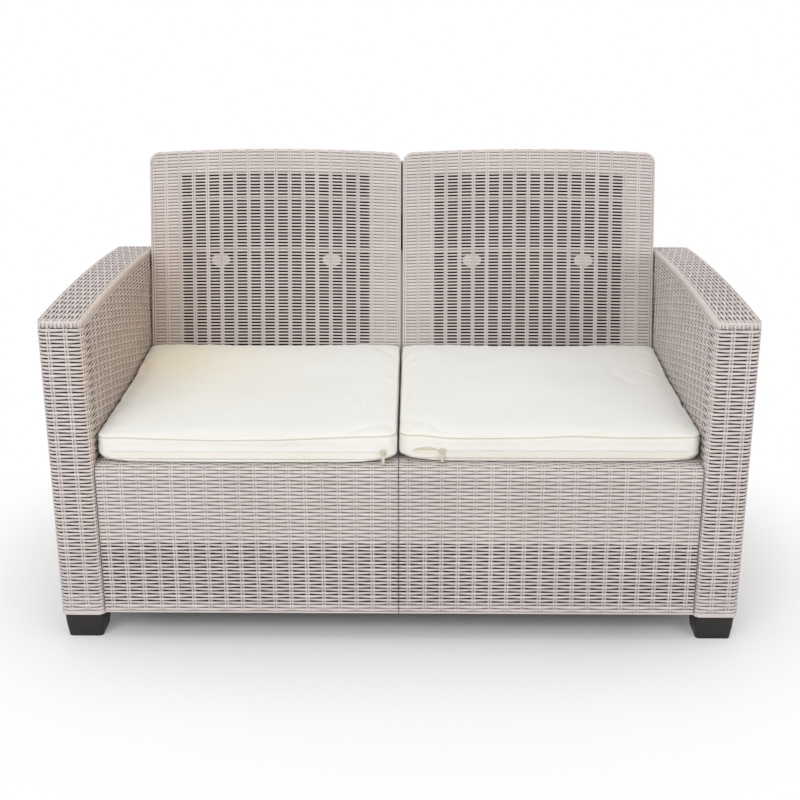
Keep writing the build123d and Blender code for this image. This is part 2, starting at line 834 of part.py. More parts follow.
def make_pull(slider_x):
    """Zip pull hanging from the slider's bar."""
    eye_low_x = slider_x - pull_eye_width / 2
    neck_low = zip_height - 2 * pull_eye_radius
    eye = rod((eye_low_x, bail_y, zip_height), (1, 0, 0), pull_eye_radius, pull_eye_width)
    neck = block(
        eye_low_x, eye_low_x + pull_eye_width,
        bail_y - pull_thickness / 2, bail_y + pull_thickness / 2, neck_low, zip_height,
    )
    plate = block(
        slider_x - pull_width / 2, slider_x + pull_width / 2,
        bail_y - pull_thickness / 2, bail_y + pull_thickness / 2, zip_height - pull_length, neck_low,
    )
    hole = rod((slider_x - pull_width, bail_y, zip_height), (1, 0, 0), bail_radius + bail_gap, 2 * pull_width)
    return eye + neck + plate - hole


def main():
    """Make every piece and write it."""
    front_foot, rear_foot = foot_centres()
    write_pair("arm_shell", make_arm_shell())
    write_pair("arm_inner_panel", make_arm_panel())
    write_pair("arm_top_cap", make_arm_cap())
    write_pair("foot_front", make_foot(front_foot))
    write_pair("foot_rear", make_foot(rear_foot))
    foot_screws = [make_foot_screw(centre) for centre in foot_centres()]
    write("foot_screws", *foot_screws, *[mirrored(piece) for piece in foot_screws])

    write_pair("seat_deck", make_seat())
    write_pair("front_apron", make_front_apron())
    write_pair("rear_apron", make_rear_apron())
    aprons = (
        ("front_apron_screws", deck_front_y + shell_wall),
        ("rear_apron_screws", deck_rear_y + meet_gap + shell_wall),
    )
    for name, bearing_y in aprons:
        apron_screws = [make_apron_screw(screw_x, bearing_y) for screw_x in apron_screw_xs()]
        write(name, *apron_screws, *[mirrored(piece) for piece in apron_screws])

    write("centre_beam", make_centre_beam())
    write("centre_leg", make_centre_leg())
    write("centre_foot", make_centre_foot())

    arm_bolts = []
    centre_bolts = []
    for bolt_y in side_bolt_ys():
        start = (-seat_outer_x + shell_wall, bolt_y, side_bolt_height)
        arm_bolts += bolt_and_nut(start, (-1, 0, 0), 2 * shell_wall + meet_gap)
        start = (-saddle_outer_x, bolt_y, deck_height - centre_bolt_drop)
        centre_bolts += bolt_and_nut(start, (1, 0, 0), 2 * saddle_outer_x)
    write("arm_bolts", *arm_bolts, *[mirrored(piece) for piece in arm_bolts])
    write("seat_joining_bolts", *centre_bolts)
    leg_bolt = bolt_and_nut((-beam_width / 2, 0, beam_top - beam_height / 2), (1, 0, 0), beam_width)
    write("leg_bolt", *leg_bolt)

    write_pair("back_panel", make_back_front())
    write_pair("back_cover", make_back_cover())
    cover_screws = make_back_screws()
    write("back_cover_screws", *cover_screws, *[mirrored(piece) for piece in cover_screws])
    tab_bolts = []
    for tab_x in tab_centres():
        start = (tab_x, back_base_y + tab_setback, deck_height - tab_bolt_drop)
        grip = tab_thickness + hole_clearance + rib_wall
        tab_bolts += bolt_and_nut(start, (0, 1, 0), grip)
    write("back_tab_bolts", *tab_bolts, *[mirrored(piece) for piece in tab_bolts])
    write("back_joining_plate", make_joining_plate())
    joining_screws = make_joining_screws()
    write("joining_plate_screws", *joining_screws, *[mirrored(piece) for piece in joining_screws])

    set_back = Pos(0, cushion_right_setback, 0)
    write("cushion_left", make_cushion(0))
    write("cushion_right", mirrored(make_cushion(cushion_right_setback)))
    write("zip_tape_left", make_zip_tape())
    write("zip_tape_right", set_back * mirrored(make_zip_tape()))
    left_x = -cushion_middle_x + zip_length / 2 - slider_end_gap - slider_length / 2
    right_x = cushion_middle_x - zip_length / 2 + zip_open_length
    write("zip_slider_left", make_slider(left_x))
    write("zip_pull_left", make_pull(left_x))
    write("zip_slider_right", set_back * make_slider(right_x))
    write("zip_pull_right", set_back * make_pull(right_x))


main()
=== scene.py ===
"""Dresses a patio loveseat: rattan-look resin mouldings, cotton cushions with zips, feet and fittings.

All lengths are metres in the frame's own axes: +X runs across the seat, -Y to the front and +Z up.
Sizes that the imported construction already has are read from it; the rest are named fields below.
"""

import json
import logging
import math
from collections.abc import Callable
from dataclasses import dataclass
from enum import Enum

import bpy
import numpy as np
from bpy.types import Material, Mesh, Node, NodeSocket, NodeTree, Object
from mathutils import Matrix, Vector
from mathutils.bvhtree import BVHTree


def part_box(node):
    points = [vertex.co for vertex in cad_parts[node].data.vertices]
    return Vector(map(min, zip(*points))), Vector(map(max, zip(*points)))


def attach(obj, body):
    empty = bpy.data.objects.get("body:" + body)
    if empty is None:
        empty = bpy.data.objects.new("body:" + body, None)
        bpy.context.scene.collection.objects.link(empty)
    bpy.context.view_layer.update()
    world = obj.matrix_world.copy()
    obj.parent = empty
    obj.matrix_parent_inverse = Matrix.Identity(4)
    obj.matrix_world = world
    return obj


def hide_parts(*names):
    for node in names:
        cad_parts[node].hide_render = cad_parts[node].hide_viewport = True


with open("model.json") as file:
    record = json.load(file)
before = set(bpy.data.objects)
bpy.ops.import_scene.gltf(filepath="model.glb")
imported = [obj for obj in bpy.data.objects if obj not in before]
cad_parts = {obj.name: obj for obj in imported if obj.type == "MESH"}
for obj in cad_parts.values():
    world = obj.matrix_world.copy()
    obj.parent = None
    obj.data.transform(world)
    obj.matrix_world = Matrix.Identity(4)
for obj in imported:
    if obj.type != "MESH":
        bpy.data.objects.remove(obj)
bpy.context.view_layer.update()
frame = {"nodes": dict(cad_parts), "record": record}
LOG = logging.getLogger("loveseat")
MM = 0.001
WHITE = (1, 1, 1, 1)
XYZ = "ShaderNodeCombineXYZ"
NOISE = "ShaderNodeTexNoise"
Array = np.ndarray
Pair = tuple[float, float]
Triple = tuple[float, float, float]


class Side(Enum):
    """The two hands of the loveseat, seen from the front."""

    LEFT = "left"
    RIGHT = "right"


def linear(colour: str) -> tuple[float, float, float, float]:
    """Turns an sRGB hex colour into Blender's linear colour.

    Args:
        colour: Six hex digits after a hash sign.

    Returns:
        Linear red, green, blue and an alpha of one.
    """
    channels = [int(colour[i : i + 2], 16) / 255 for i in (1, 3, 5)]
    curved = [c / 12.92 if c <= 0.04045 else ((c + 0.055) / 1.055) ** 2.4 for c in channels]
    return (curved[0], curved[1], curved[2], 1.0)


def put(tree: NodeTree, kind: str, links: dict | None = None, **settings: object) -> Node:
    """Adds a node with its settings and its inputs.

    Args:
        tree: The node tree to add to.
        kind: Blender's name of the node type.
        links: Input name or number to a value, to the socket that feeds it or to a node for its output.
        **settings: Attributes of the node itself, set before the inputs.

    Returns:
        The new node.
    """
    node = tree.nodes.new(kind)
    for name, value in settings.items():
        setattr(node, name, value)
    for key, value in (links or {}).items():
        if isinstance(value, Node):
            value = next(socket for socket in value.outputs if socket.enabled)
        if isinstance(value, NodeSocket):
            tree.links.new(value, node.inputs[key])
        else:
            node.inputs[key].default_value = value
    return node


def sums(tree: NodeTree, *steps: tuple) -> Node:
    """Adds a run of Math nodes, each fed by the one before it.

    Args:
        tree: The node tree to add to.
        *steps: Operation and values of each node; None stands for the last result.

    Returns:
        The last node.
    """
    result = None
    for operation, *values in steps:
        fed = {i: (result if value is None else value) for i, value in enumerate(values)}
        result = put(tree, "ShaderNodeMath", fed, operation=operation)
    return result


def emptied(owner: Material | bpy.types.World) -> NodeTree:
    """The node tree of a new material or world, with nothing in it."""
    owner.use_nodes = True
    owner.node_tree.nodes.clear()
    return owner.node_tree


def linked(name: str, data: bpy.types.ID) -> Object:
    """Makes an object of a mesh, lamp or camera and links it to the scene."""
    made = bpy.data.objects.new(name, data)
    bpy.context.scene.collection.objects.link(made)
    return made


def baked(obj: Object) -> Mesh:
    """The mesh that an object's modifiers make, as a plain one."""
    bpy.context.view_layer.update()
    return bpy.data.meshes.new_from_object(obj.evaluated_get(bpy.context.evaluated_depsgraph_get()))


def read(items: bpy.types.bpy_prop_collection, key: str, kind: type, width: int = 1) -> Array:
    """Reads one property of all items of a mesh, a row each where it has more than one number."""
    values = np.zeros(len(items) * width, kind)
    items.foreach_get(key, values)
    return values.reshape(-1, width) if width > 1 else values


def places_of(mesh: Mesh) -> Array:
    """Places of a mesh's vertices, one row each."""
    return read(mesh.vertices, "co", np.float32, 3).astype(float)


def store(mesh: Mesh, name: str, values: Array) -> None:
    """Stores a number or a vector on each vertex of a mesh."""
    kind, key = ("FLOAT", "value") if values.ndim == 1 else ("FLOAT_VECTOR", "vector")
    mesh.attributes.new(name, kind, "POINT").data.foreach_set(key, values.astype(np.float32).ravel())


def quads(numbers: Array) -> Array:
    """Corners of the faces between neighbours in a grid of vertex numbers, four to a row."""
    corners = [numbers[:-1, :-1], numbers[:-1, 1:], numbers[1:, 1:], numbers[1:, :-1]]
    return np.stack(corners, axis=-1).reshape(-1, 4)


@dataclass(frozen=True)
class Finish:
    """A finish, named for what the real one is made of and how."""

    name: str
    colour: str
    shade: str

    def material(self) -> Material:
        """Builds the material round one shader."""
        made = bpy.data.materials.new(self.name)
        tree = emptied(made)
        shader = put(tree, "ShaderNodeBsdfPrincipled", self.sockets(tree))
        put(tree, "ShaderNodeOutputMaterial", {"Surface": shader})
        return made

    def sockets(self, tree: NodeTree) -> dict[str, object]:
        """Adds the nodes of the finish and says what feeds each socket of its shader."""
        raise NotImplementedError

    def between(self, tree: NodeTree, share: Node) -> Node:
        """Mixes the finish's colour with its shade."""
        colours = {0: share, 6: linear(self.colour), 7: linear(self.shade)}
        return put(tree, "ShaderNodeMix", colours, data_type="RGBA")


@dataclass(frozen=True)
class RattanResin(Finish):
    """Polypropylene moulded in a rattan pattern: satin, with fine drawn grain along each strand."""

    name: str = "moulded_polypropylene_rattan"
    colour: str = "#D8CFCC"
    # painted shade: the dark colour that groove floors and deep parts are mixed towards by their 'tone'; low
    # tones only vary the strands at random
    shade: str = "#5F5046"
    # painted warm light: the colour that the 'warm' attribute mixes in
    warm_tint: str = "#F6DFBE"
    roughness: float = 0.46
    ior: float = 1.49
    grain_width: float = 0.9 * MM
    grain_length: float = 26 * MM
    bump_height: float = 0.12 * MM
    tone_spread: float = 0.14
    clouds: float = 9.0

    def sockets(self, tree: NodeTree) -> dict[str, object]:
        """Lays the grain along each strand by its 'grain' attribute, and tones it and paints warm light on it
        by two more: 'tone' gives each strand a random tone and, above one, painted shade on groove floors and
        deep parts; 'warm' gives painted warm light.

        Args:
            tree: The material's node tree.

        Returns:
            Socket name to what feeds it.
        """
        names = ("grain", "tone", "warm")
        grain, tone, warm = [put(tree, "ShaderNodeAttribute", attribute_name=name) for name in names]
        drawn_out = (1 / self.grain_length, 1 / self.grain_width, 1)
        scaled = put(tree, "ShaderNodeMapping", {0: grain.outputs["Vector"], 3: drawn_out})
        drawn = put(tree, NOISE, {"Vector": scaled, "Scale": 1.0, "Detail": 3.0})
        place = put(tree, "ShaderNodeTexCoord").outputs["Object"]
        cloudy = put(tree, NOISE, {"Vector": place, "Scale": self.clouds, "Detail": 2.0})
        # the 'tone' attribute: up to one a random tone per strand, above one painted shade
        share = sums(
            tree,
            ("MULTIPLY", drawn, 0.3),
            ("MULTIPLY_ADD", cloudy, 0.2, None),
            ("MULTIPLY_ADD", tone.outputs["Fac"], self.tone_spread, None),
            ("SUBTRACT", None, 0.22),
        )
        yellow = {0: warm.outputs["Fac"], 6: WHITE, 7: linear(self.warm_tint)}
        both = {0: 1.0, 6: self.between(tree, share), 7: put(tree, "ShaderNodeMix", yellow, data_type="RGBA")}
        bump = {"Height": drawn, "Distance": self.bump_height, "Strength": 0.8}
        return {
            "Base Color": put(tree, "ShaderNodeMix", both, data_type="RGBA", blend_type="MULTIPLY"),
            "Roughness": sums(tree, ("MULTIPLY_ADD", drawn, 0.16, self.roughness - 0.08)),
            "IOR": self.ior,
            "Normal": put(tree, "ShaderNodeBump", bump),
        }


@dataclass(frozen=True)
class SpeckledSolid(Finish):
    """A moulded, lacquered or plated solid; the name says which.

    Its speckle is drawn coarser than a real surface's so that it shows.
    """

    roughness: float
    ior: float = 1.49
    metallic: float = 0.0
    speckle: float = 0.8 * MM
    clouds: float = 30.0
    bump_height: float = 0.05 * MM

    def sockets(self, tree: NodeTree) -> dict[str, object]:
        """Lays the speckle on object coordinates; a metal keeps the default IOR.

        Args:
            tree: The material's node tree.

        Returns:
            Socket name to what feeds it.
        """
        place = put(tree, "ShaderNodeTexCoord").outputs["Object"]
        fine = put(tree, NOISE, {"Vector": place, "Scale": 1 / self.speckle, "Detail": 2.0})
        broad = put(tree, NOISE, {"Vector": place, "Scale": self.clouds, "Detail": 3.0})
        both = (("MULTIPLY", fine, 0.5), ("MULTIPLY_ADD", broad, 0.9, None))
        share = sums(tree, *both, ("SUBTRACT", None, 0.3))
        return {
            "Base Color": self.between(tree, share),
            "Roughness": sums(tree, ("MULTIPLY_ADD", broad, 0.2, self.roughness - 0.1)),
            "Normal": put(tree, "ShaderNodeBump", {"Height": fine, "Distance": self.bump_height}),
        } | ({"Metallic": self.metallic} if self.metallic else {"IOR": self.ior})


@dataclass(frozen=True)
class WovenCloth(Finish):
    """Plain-woven cloth with slubs: matt, with a thread bump and a soft sheen.

    Its threads are drawn coarser than real ones so that they show.
    """

    thread: float = 1.1 * MM
    roughness: float = 0.9
    ior: float = 1.46
    sheen: float = 0.25
    bump_height: float = 0.16 * MM
    slubs: Pair = (40, 900)
    clouds: float = 7.0
    # painted warm light: the colour that the 'warm' attribute mixes in, with a slight warm tint round the
    # cushion's sides
    warm_tint: str = "#F4E5BC"

    def sockets(self, tree: NodeTree) -> dict[str, object]:
        """Crosses two waves of threads and two of slubs, and warms the cloth's colour by its 'warm'
        attribute, which carries painted warm light and a slight tint round the sides.

        Args:
            tree: The material's node tree.

        Returns:
            Socket name to what feeds it.
        """
        place = put(tree, "ShaderNodeTexCoord").outputs["Object"]
        turns = 2 * math.pi / self.thread
        x, y, z = put(tree, "ShaderNodeSeparateXYZ", {0: place}).outputs
        across = sums(tree, ("MULTIPLY", x, turns), ("SINE", None))
        deep = sums(tree, ("ADD", y, z), ("MULTIPLY", None, turns), ("SINE", None))
        long, fine = self.slubs
        slubs = []
        for scale in ((long, fine, fine), (fine, long, fine)):
            drawn_out = put(tree, "ShaderNodeMapping", {0: place, 3: scale})
            slubs.append(put(tree, NOISE, {"Vector": drawn_out, "Scale": 1.0, "Detail": 2.0}))
        cloudy = put(tree, NOISE, {"Vector": place, "Scale": self.clouds, "Detail": 3.0})
        height = sums(
            tree,
            ("MULTIPLY", across, deep),
            ("MULTIPLY", None, 0.35),
            ("MULTIPLY_ADD", slubs[0], 0.6, None),
            ("MULTIPLY_ADD", slubs[1], 0.6, None),
        )
        both = (("MULTIPLY", height, -0.25), ("MULTIPLY_ADD", cloudy, 0.9, None))
        share = sums(tree, *both, ("SUBTRACT", None, 0.02))
        warm = put(tree, "ShaderNodeAttribute", attribute_name="warm").outputs["Fac"]
        yellow = {0: warm, 6: self.between(tree, share), 7: linear(self.warm_tint)}
        bump = {"Height": height, "Distance": self.bump_height, "Strength": 0.7}
        return {
            "Base Color": put(tree, "ShaderNodeMix", yellow, data_type="RGBA"),
            "Roughness": self.roughness,
            "IOR": self.ior,
            "Sheen Weight": self.sheen,
            "Sheen Roughness": 0.5,
            "Normal": put(tree, "ShaderNodeBump", bump),
        }


class Finishes:
    """Every material of the loveseat, built once."""

    def __init__(self) -> None:
        """Builds the materials."""
        # polypropylene off a wicker mould: pale warm grey and satin on the strands, with painted shade
        # darkening the groove floors and what lies deep
        self.resin = RattanResin().material()
        # painted shade: a near-black sheet behind the open slots, standing in for the unlit inside of the
        # hollow moulding
        self.shade_liner = SpeckledSolid("painted_shade_liner", "#1C1613", "#120E0C", 0.85).material()
        # dark polypropylene off a fine-eroded mould: almost black, with a dull shine on the edges
        self.foot = SpeckledSolid("dark_brown_moulded_foot", "#1E1915", "#15110E", 0.5).material()
        # undyed cotton canvas: matt ivory with slubs, and a soft glow where it turns away
        self.cotton = WovenCloth("ivory_cotton_canvas", "#E9E9E5", "#DFDDD4").material()
        # twisted cotton laid in the seam: a line a little darker than the cover, partly the thread's own
        # colour and partly painted shade of the seam groove
        self.thread = WovenCloth("seam_thread_and_welt", "#D3CFC2", "#BDB7A6", thread=0.9 * MM).material()
        # plain calico behind the open zip: yellower and darker, because it lies in shade
        self.lining = WovenCloth("shaded_calico_lining", "#D9D1BA", "#BFB496", thread=0.9 * MM).material()
        # woven polyester tape: warmer and finer than the cover
        self.tape = WovenCloth("woven_zip_tape", "#EDEAE2", "#DAD4C6", thread=0.8 * MM).material()
        # nylon bent to a coil: milky, with a small shine on each loop
        self.coil = SpeckledSolid("nylon_zip_coil", "#E9E6DC", "#D2CCBC", 0.45, ior=1.53).material()
        # cast zinc under cream lacquer: smooth, with a soft highlight
        self.lacquer = SpeckledSolid("cream_lacquered_zinc", "#D9D2BF", "#B9B09A", 0.35).material()
        # zinc-plated steel: cool grey metal that reflects in a blur
        self.steel = SpeckledSolid("zinc_plated_steel", "#C4C6C8", "#9EA1A4", 0.34, metallic=1.0).material()


class Mesher:
    """Collects parts in numpy arrays and makes one mesh object of them."""

    def __init__(self) -> None:
        """Starts empty."""
        self.points: list[Array] = []
        self.sizes: list[Array] = []
        self.loops: list[Array] = []
        self.finishes: list[Array] = []
        self.smooth: list[Array] = []
        self.grain: list[Array] = []
        self.tone: list[Array] = []

    def add(
        self,
        points: Array,
        sizes: Array,
        loops: Array,
        finish: int = 0,
        smooth: bool = False,
        grain: Array | None = None,
        tone: Array | float = 0.5,
    ) -> None:
        """Adds one part.

        Args:
            points: Vertex places, one row each.
            sizes: Corners of each face.
            loops: Vertex numbers, face after face.
            finish: Number of the material.
            smooth: Whether the faces are shaded smooth.
            grain: Place along and across the strand for each vertex.
            tone: Tone of the resin, or of each vertex: from 0 to 1 a random tone, and above that painted
                shade, as on the floor of a groove.
        """
        self.points.append(points)
        self.sizes.append(sizes)
        self.loops.append(loops)
        self.finishes.append(np.full(len(sizes), finish))
        self.smooth.append(np.full(len(sizes), smooth))
        self.grain.append(points.copy() if grain is None else grain)
        self.tone.append(np.full(len(points), tone) if np.isscalar(tone) else tone)

    def net(self, places: Array, wraps: Pair = (1, 1), smooth: bool = True, tone: float = 0.5) -> None:
        """Adds a closed net of quads over rows of places.

        Args:
            places: Vertex places, rows by columns by three.
            wraps: One where the last row, or column, joins the first, or zero where faces close both ends.
            smooth: Whether the faces are shaded smooth.
            tone: Tone of the resin.
        """
        numbers = np.arange(places.shape[0] * places.shape[1]).reshape(places.shape[:2])
        faces = list(quads(np.pad(numbers, [(0, wrap) for wrap in wraps], mode="wrap")))
        if not wraps[0]:
            faces += [numbers[0][::-1], numbers[-1]]
        if not wraps[1]:
            faces += [numbers[:, 0], numbers[:, -1][::-1]]
        sizes = np.array([len(face) for face in faces])
        self.add(places.reshape(-1, 3), sizes, np.concatenate(faces), smooth=smooth, tone=tone)

    def block(
        self, low: tuple, high: tuple, steps: tuple[int, int] = (1, 1), finish: int = 0, tone: float = 0.5
    ) -> None:
        """Adds a closed block, divided along its first two axes.

        Args:
            low: Lowest corner.
            high: Highest corner.
            steps: Divisions along the first and the second axis.
            finish: Number of the material.
            tone: Tone of the resin.
        """
        us, vs = [np.linspace(low[k], high[k], steps[k] + 1) for k in (0, 1)]
        grids = np.meshgrid((low[2], high[2]), vs, us, indexing="ij")
        points = np.stack(grids[::-1], axis=-1).reshape(-1, 3)
        n = np.arange(len(points)).reshape(grids[0].shape)
        walls = [n[0].T, n[1], n[:, 0], n[::-1, -1], n[::-1, :, 0], n[:, :, -1]]
        faces = np.concatenate([quads(wall) for wall in walls])
        self.add(points, np.full(len(faces), 4), faces.ravel(), finish, tone=tone)

    def place(self, surface: "Surface") -> "Mesher":
        """Lays everything that was drawn flat, as (along, up, proud), onto a surface; gives itself back."""
        self.points = [surface.at(flat[:, 0], flat[:, 1], flat[:, 2]) for flat in self.points]
        return self

    def shift(self, along: float = 0.0, up: float = 0.0, proud: float = 0.0) -> "Mesher":
        """Moves every part that was drawn flat, and gives the mesher back."""
        self.points = [flat + np.array((along, up, proud)) for flat in self.points]
        return self

    def take(self, *others: "Mesher") -> "Mesher":
        """Takes over all the parts of other meshers, and gives this one back."""
        for other in others:
            for name, parts in vars(other).items():
                getattr(self, name).extend(parts)
        return self

    def make(self, name: str, materials: list[Material], mirrored: bool = False) -> Object:
        """Makes the object.

        Args:
            name: The piece's name.
            materials: Materials in the order of the finish numbers.
            mirrored: Whether the piece is turned into its mirror image across the middle.

        Returns:
            The new object, linked to the scene.
        """
        points = np.concatenate(self.points) * ((-1, 1, 1) if mirrored else (1, 1, 1))
        sizes = np.concatenate(self.sizes).astype(np.int32)
        before = np.cumsum([0] + [len(part) for part in self.points[:-1]])
        loops = np.concatenate([part + first for part, first in zip(self.loops, before)]).astype(np.int32)
        mesh = bpy.data.meshes.new(name)
        mesh.vertices.add(len(points))
        mesh.vertices.foreach_set("co", points.astype(np.float32).ravel())
        mesh.loops.add(len(loops))
        mesh.loops.foreach_set("vertex_index", loops)
        mesh.polygons.add(len(sizes))
        mesh.polygons.foreach_set("loop_start", np.cumsum(sizes, dtype=np.int32) - sizes)
        mesh.polygons.foreach_set("material_index", np.concatenate(self.finishes).astype(np.int32))
        mesh.polygons.foreach_set("use_smooth", np.concatenate(self.smooth).astype(bool))
        store(mesh, "grain", np.concatenate(self.grain))
        store(mesh, "tone", np.concatenate(self.tone))
        mesh.update(calc_edges=True)
        mesh.validate()
        if mirrored:
            mesh.flip_normals()
        for material in materials:
            mesh.materials.append(material)
        return linked(name, mesh)


class Surface:
    """A curved wall on which a flat pattern is laid."""

    def at(self, along: Array, up: Array, proud: Array) -> Array:
        """Turns flat places into places in the frame.

        Args:
            along: Distance along the wall.
            up: Distance up the wall.
            proud: Distance out of the wall.

        Returns:
            Places, one row each.
        """
        raise NotImplementedError


class RoundedPath:
    """A path of straight runs joined by arcs, in a plane, measured along its length."""

    def __init__(self, corners: list[Pair], radii: list[float]) -> None:
        """Works out the runs and arcs.

        Args:
            corners: Corner points, with the path's two ends.
            radii: Radius at each corner between the ends.
        """
        points = [np.array(c, float) for c in corners]
        self.pieces: list[tuple] = []
        self.length = 0.0
        start = points[0]
        for corner, after, radius in zip(points[1:-1], points[2:], radii):
            into = (corner - start) / np.linalg.norm(corner - start)
            out = (after - corner) / np.linalg.norm(after - corner)
            turn = math.atan2(into[0] * out[1] - into[1] * out[0], float(into @ out))
            cut = radius * math.tan(abs(turn) / 2)
            self._run(start, corner - into * cut)
            self.pieces.append((self.length, corner - into * cut, into, radius, turn))
            self.length += radius * abs(turn)
            start = corner + out * cut
        self._run(start, points[-1])

    def _run(self, start: Array, end: Array) -> None:
        """Adds a straight run."""
        span = float(np.linalg.norm(end - start))
        self.pieces.append((self.length, start, (end - start) / span, span, 0.0))
        self.length += span

    def at(self, along: Array) -> tuple[Array, Array]:
        """Gives the place and the direction at distances along the path.

        Args:
            along: Distances.

        Returns:
            Places and unit directions, one row each.
        """
        places, headings = np.zeros((len(along), 2)), np.zeros((len(along), 2))
        starts = [-np.inf] + [piece[0] for piece in self.pieces[1:]] + [np.inf]
        for i, (begins, start, into, radius, turn) in enumerate(self.pieces):
            chosen = (along >= starts[i]) & (along < starts[i + 1])
            s = along[chosen] - begins
            if not turn:
                places[chosen], headings[chosen] = start + np.outer(s, into), into
                continue
            side = np.array((-into[1], into[0])) * math.copysign(1, turn)
            sine, cosine = np.sin(s / radius), np.cos(s / radius)
            places[chosen] = start + np.outer(sine * radius, into) + np.outer((1 - cosine) * radius, side)
            headings[chosen] = np.outer(cosine, into) + np.outer(sine, side)
        return places, headings


class PatternTree:
    """A Geometry Nodes tree that draws one pattern flat: along X, up Y and proud Z."""

    NAME = ""
    FLOATS: tuple[str, ...] = ()
    WHOLE: tuple[str, ...] = ()

    def __init__(self) -> None:
        """Builds the tree: named inputs first, the parts made real, and one finish on them all."""
        self.tree = bpy.data.node_groups.new(self.NAME, "GeometryNodeTree")
        sockets = [("Geometry", "INPUT", "Geometry"), ("Geometry", "OUTPUT", "Geometry")]
        sockets += [(name, "INPUT", "Float") for name in self.FLOATS]
        sockets += [(name, "INPUT", "Int") for name in self.WHOLE] + [("Finish", "INPUT", "Material")]
        for name, way, kind in sockets:
            self.tree.interface.new_socket(name, in_out=way, socket_type=f"NodeSocket{kind}")
        self.given = put(self.tree, "NodeGroupInput").outputs
        parts = self.parts()
        joined = put(self.tree, "GeometryNodeJoinGeometry")
        for part in parts:
            self.tree.links.new(part.outputs[0], joined.inputs[0])
        whole = put(self.tree, "GeometryNodeRealizeInstances", {0: joined})
        kept = {"Geometry": whole, "Material": self.given["Finish"]}
        dressed = put(self.tree, "GeometryNodeSetMaterial", kept)
        put(self.tree, "NodeGroupOutput", {0: dressed})

    def parts(self) -> list[Node]:
        """Adds the nodes of the pattern's parts."""
        raise NotImplementedError

    def _rod(self, sides: int, steps: object, size: Node, middle: object, turn: object) -> Node:
        """A rod of a size, whose middle and turn are given."""
        unit = {"Vertices": sides, "Side Segments": steps, "Radius": 0.5, "Depth": 1.0}
        rod = put(self.tree, "GeometryNodeMeshCylinder", unit)
        laid = {"Geometry": rod, "Translation": middle, "Rotation": turn, "Scale": size}
        return put(self.tree, "GeometryNodeTransform", laid)

    def _copies(self, points: Node, part: Node) -> Node:
        """Real copies of a part, one on each point."""
        many = put(self.tree, "GeometryNodeInstanceOnPoints", {"Points": points, "Instance": part})
        return put(self.tree, "GeometryNodeRealizeInstances", {0: many})

    def run(self, values: dict[str, object]) -> Mesher:
        """Runs the tree and takes its mesh over as arrays.

        Args:
            values: Input name to value.

        Returns:
            The evaluated mesh.
        """
        holder = linked("pattern", bpy.data.meshes.new("pattern"))
        modifier = holder.modifiers.new("pattern", "NODES")
        modifier.node_group = self.tree
        for item in self.tree.interface.items_tree:
            if item.in_out == "INPUT" and item.name in values:
                modifier[item.identifier] = values[item.name]
        mesh = baked(holder)
        sizes = read(mesh.polygons, "loop_total", np.int32)
        loops = read(mesh.loops, "vertex_index", np.int32)
        drawn, stored = Mesher(), mesh.attributes
        if "grain" in stored:
            grain = read(stored["grain"].data, "vector", np.float32, 3)
            tone = read(stored["tone"].data, "value", np.float32)
            drawn.add(places_of(mesh), sizes, loops, grain=grain, tone=tone)
        else:
            drawn.add(places_of(mesh), sizes, loops)
        drawn.smooth[-1] = read(mesh.polygons, "use_smooth", bool)
        holder.modifiers.remove(modifier)
        bpy.data.objects.remove(holder)
        bpy.data.meshes.remove(mesh)
        return drawn


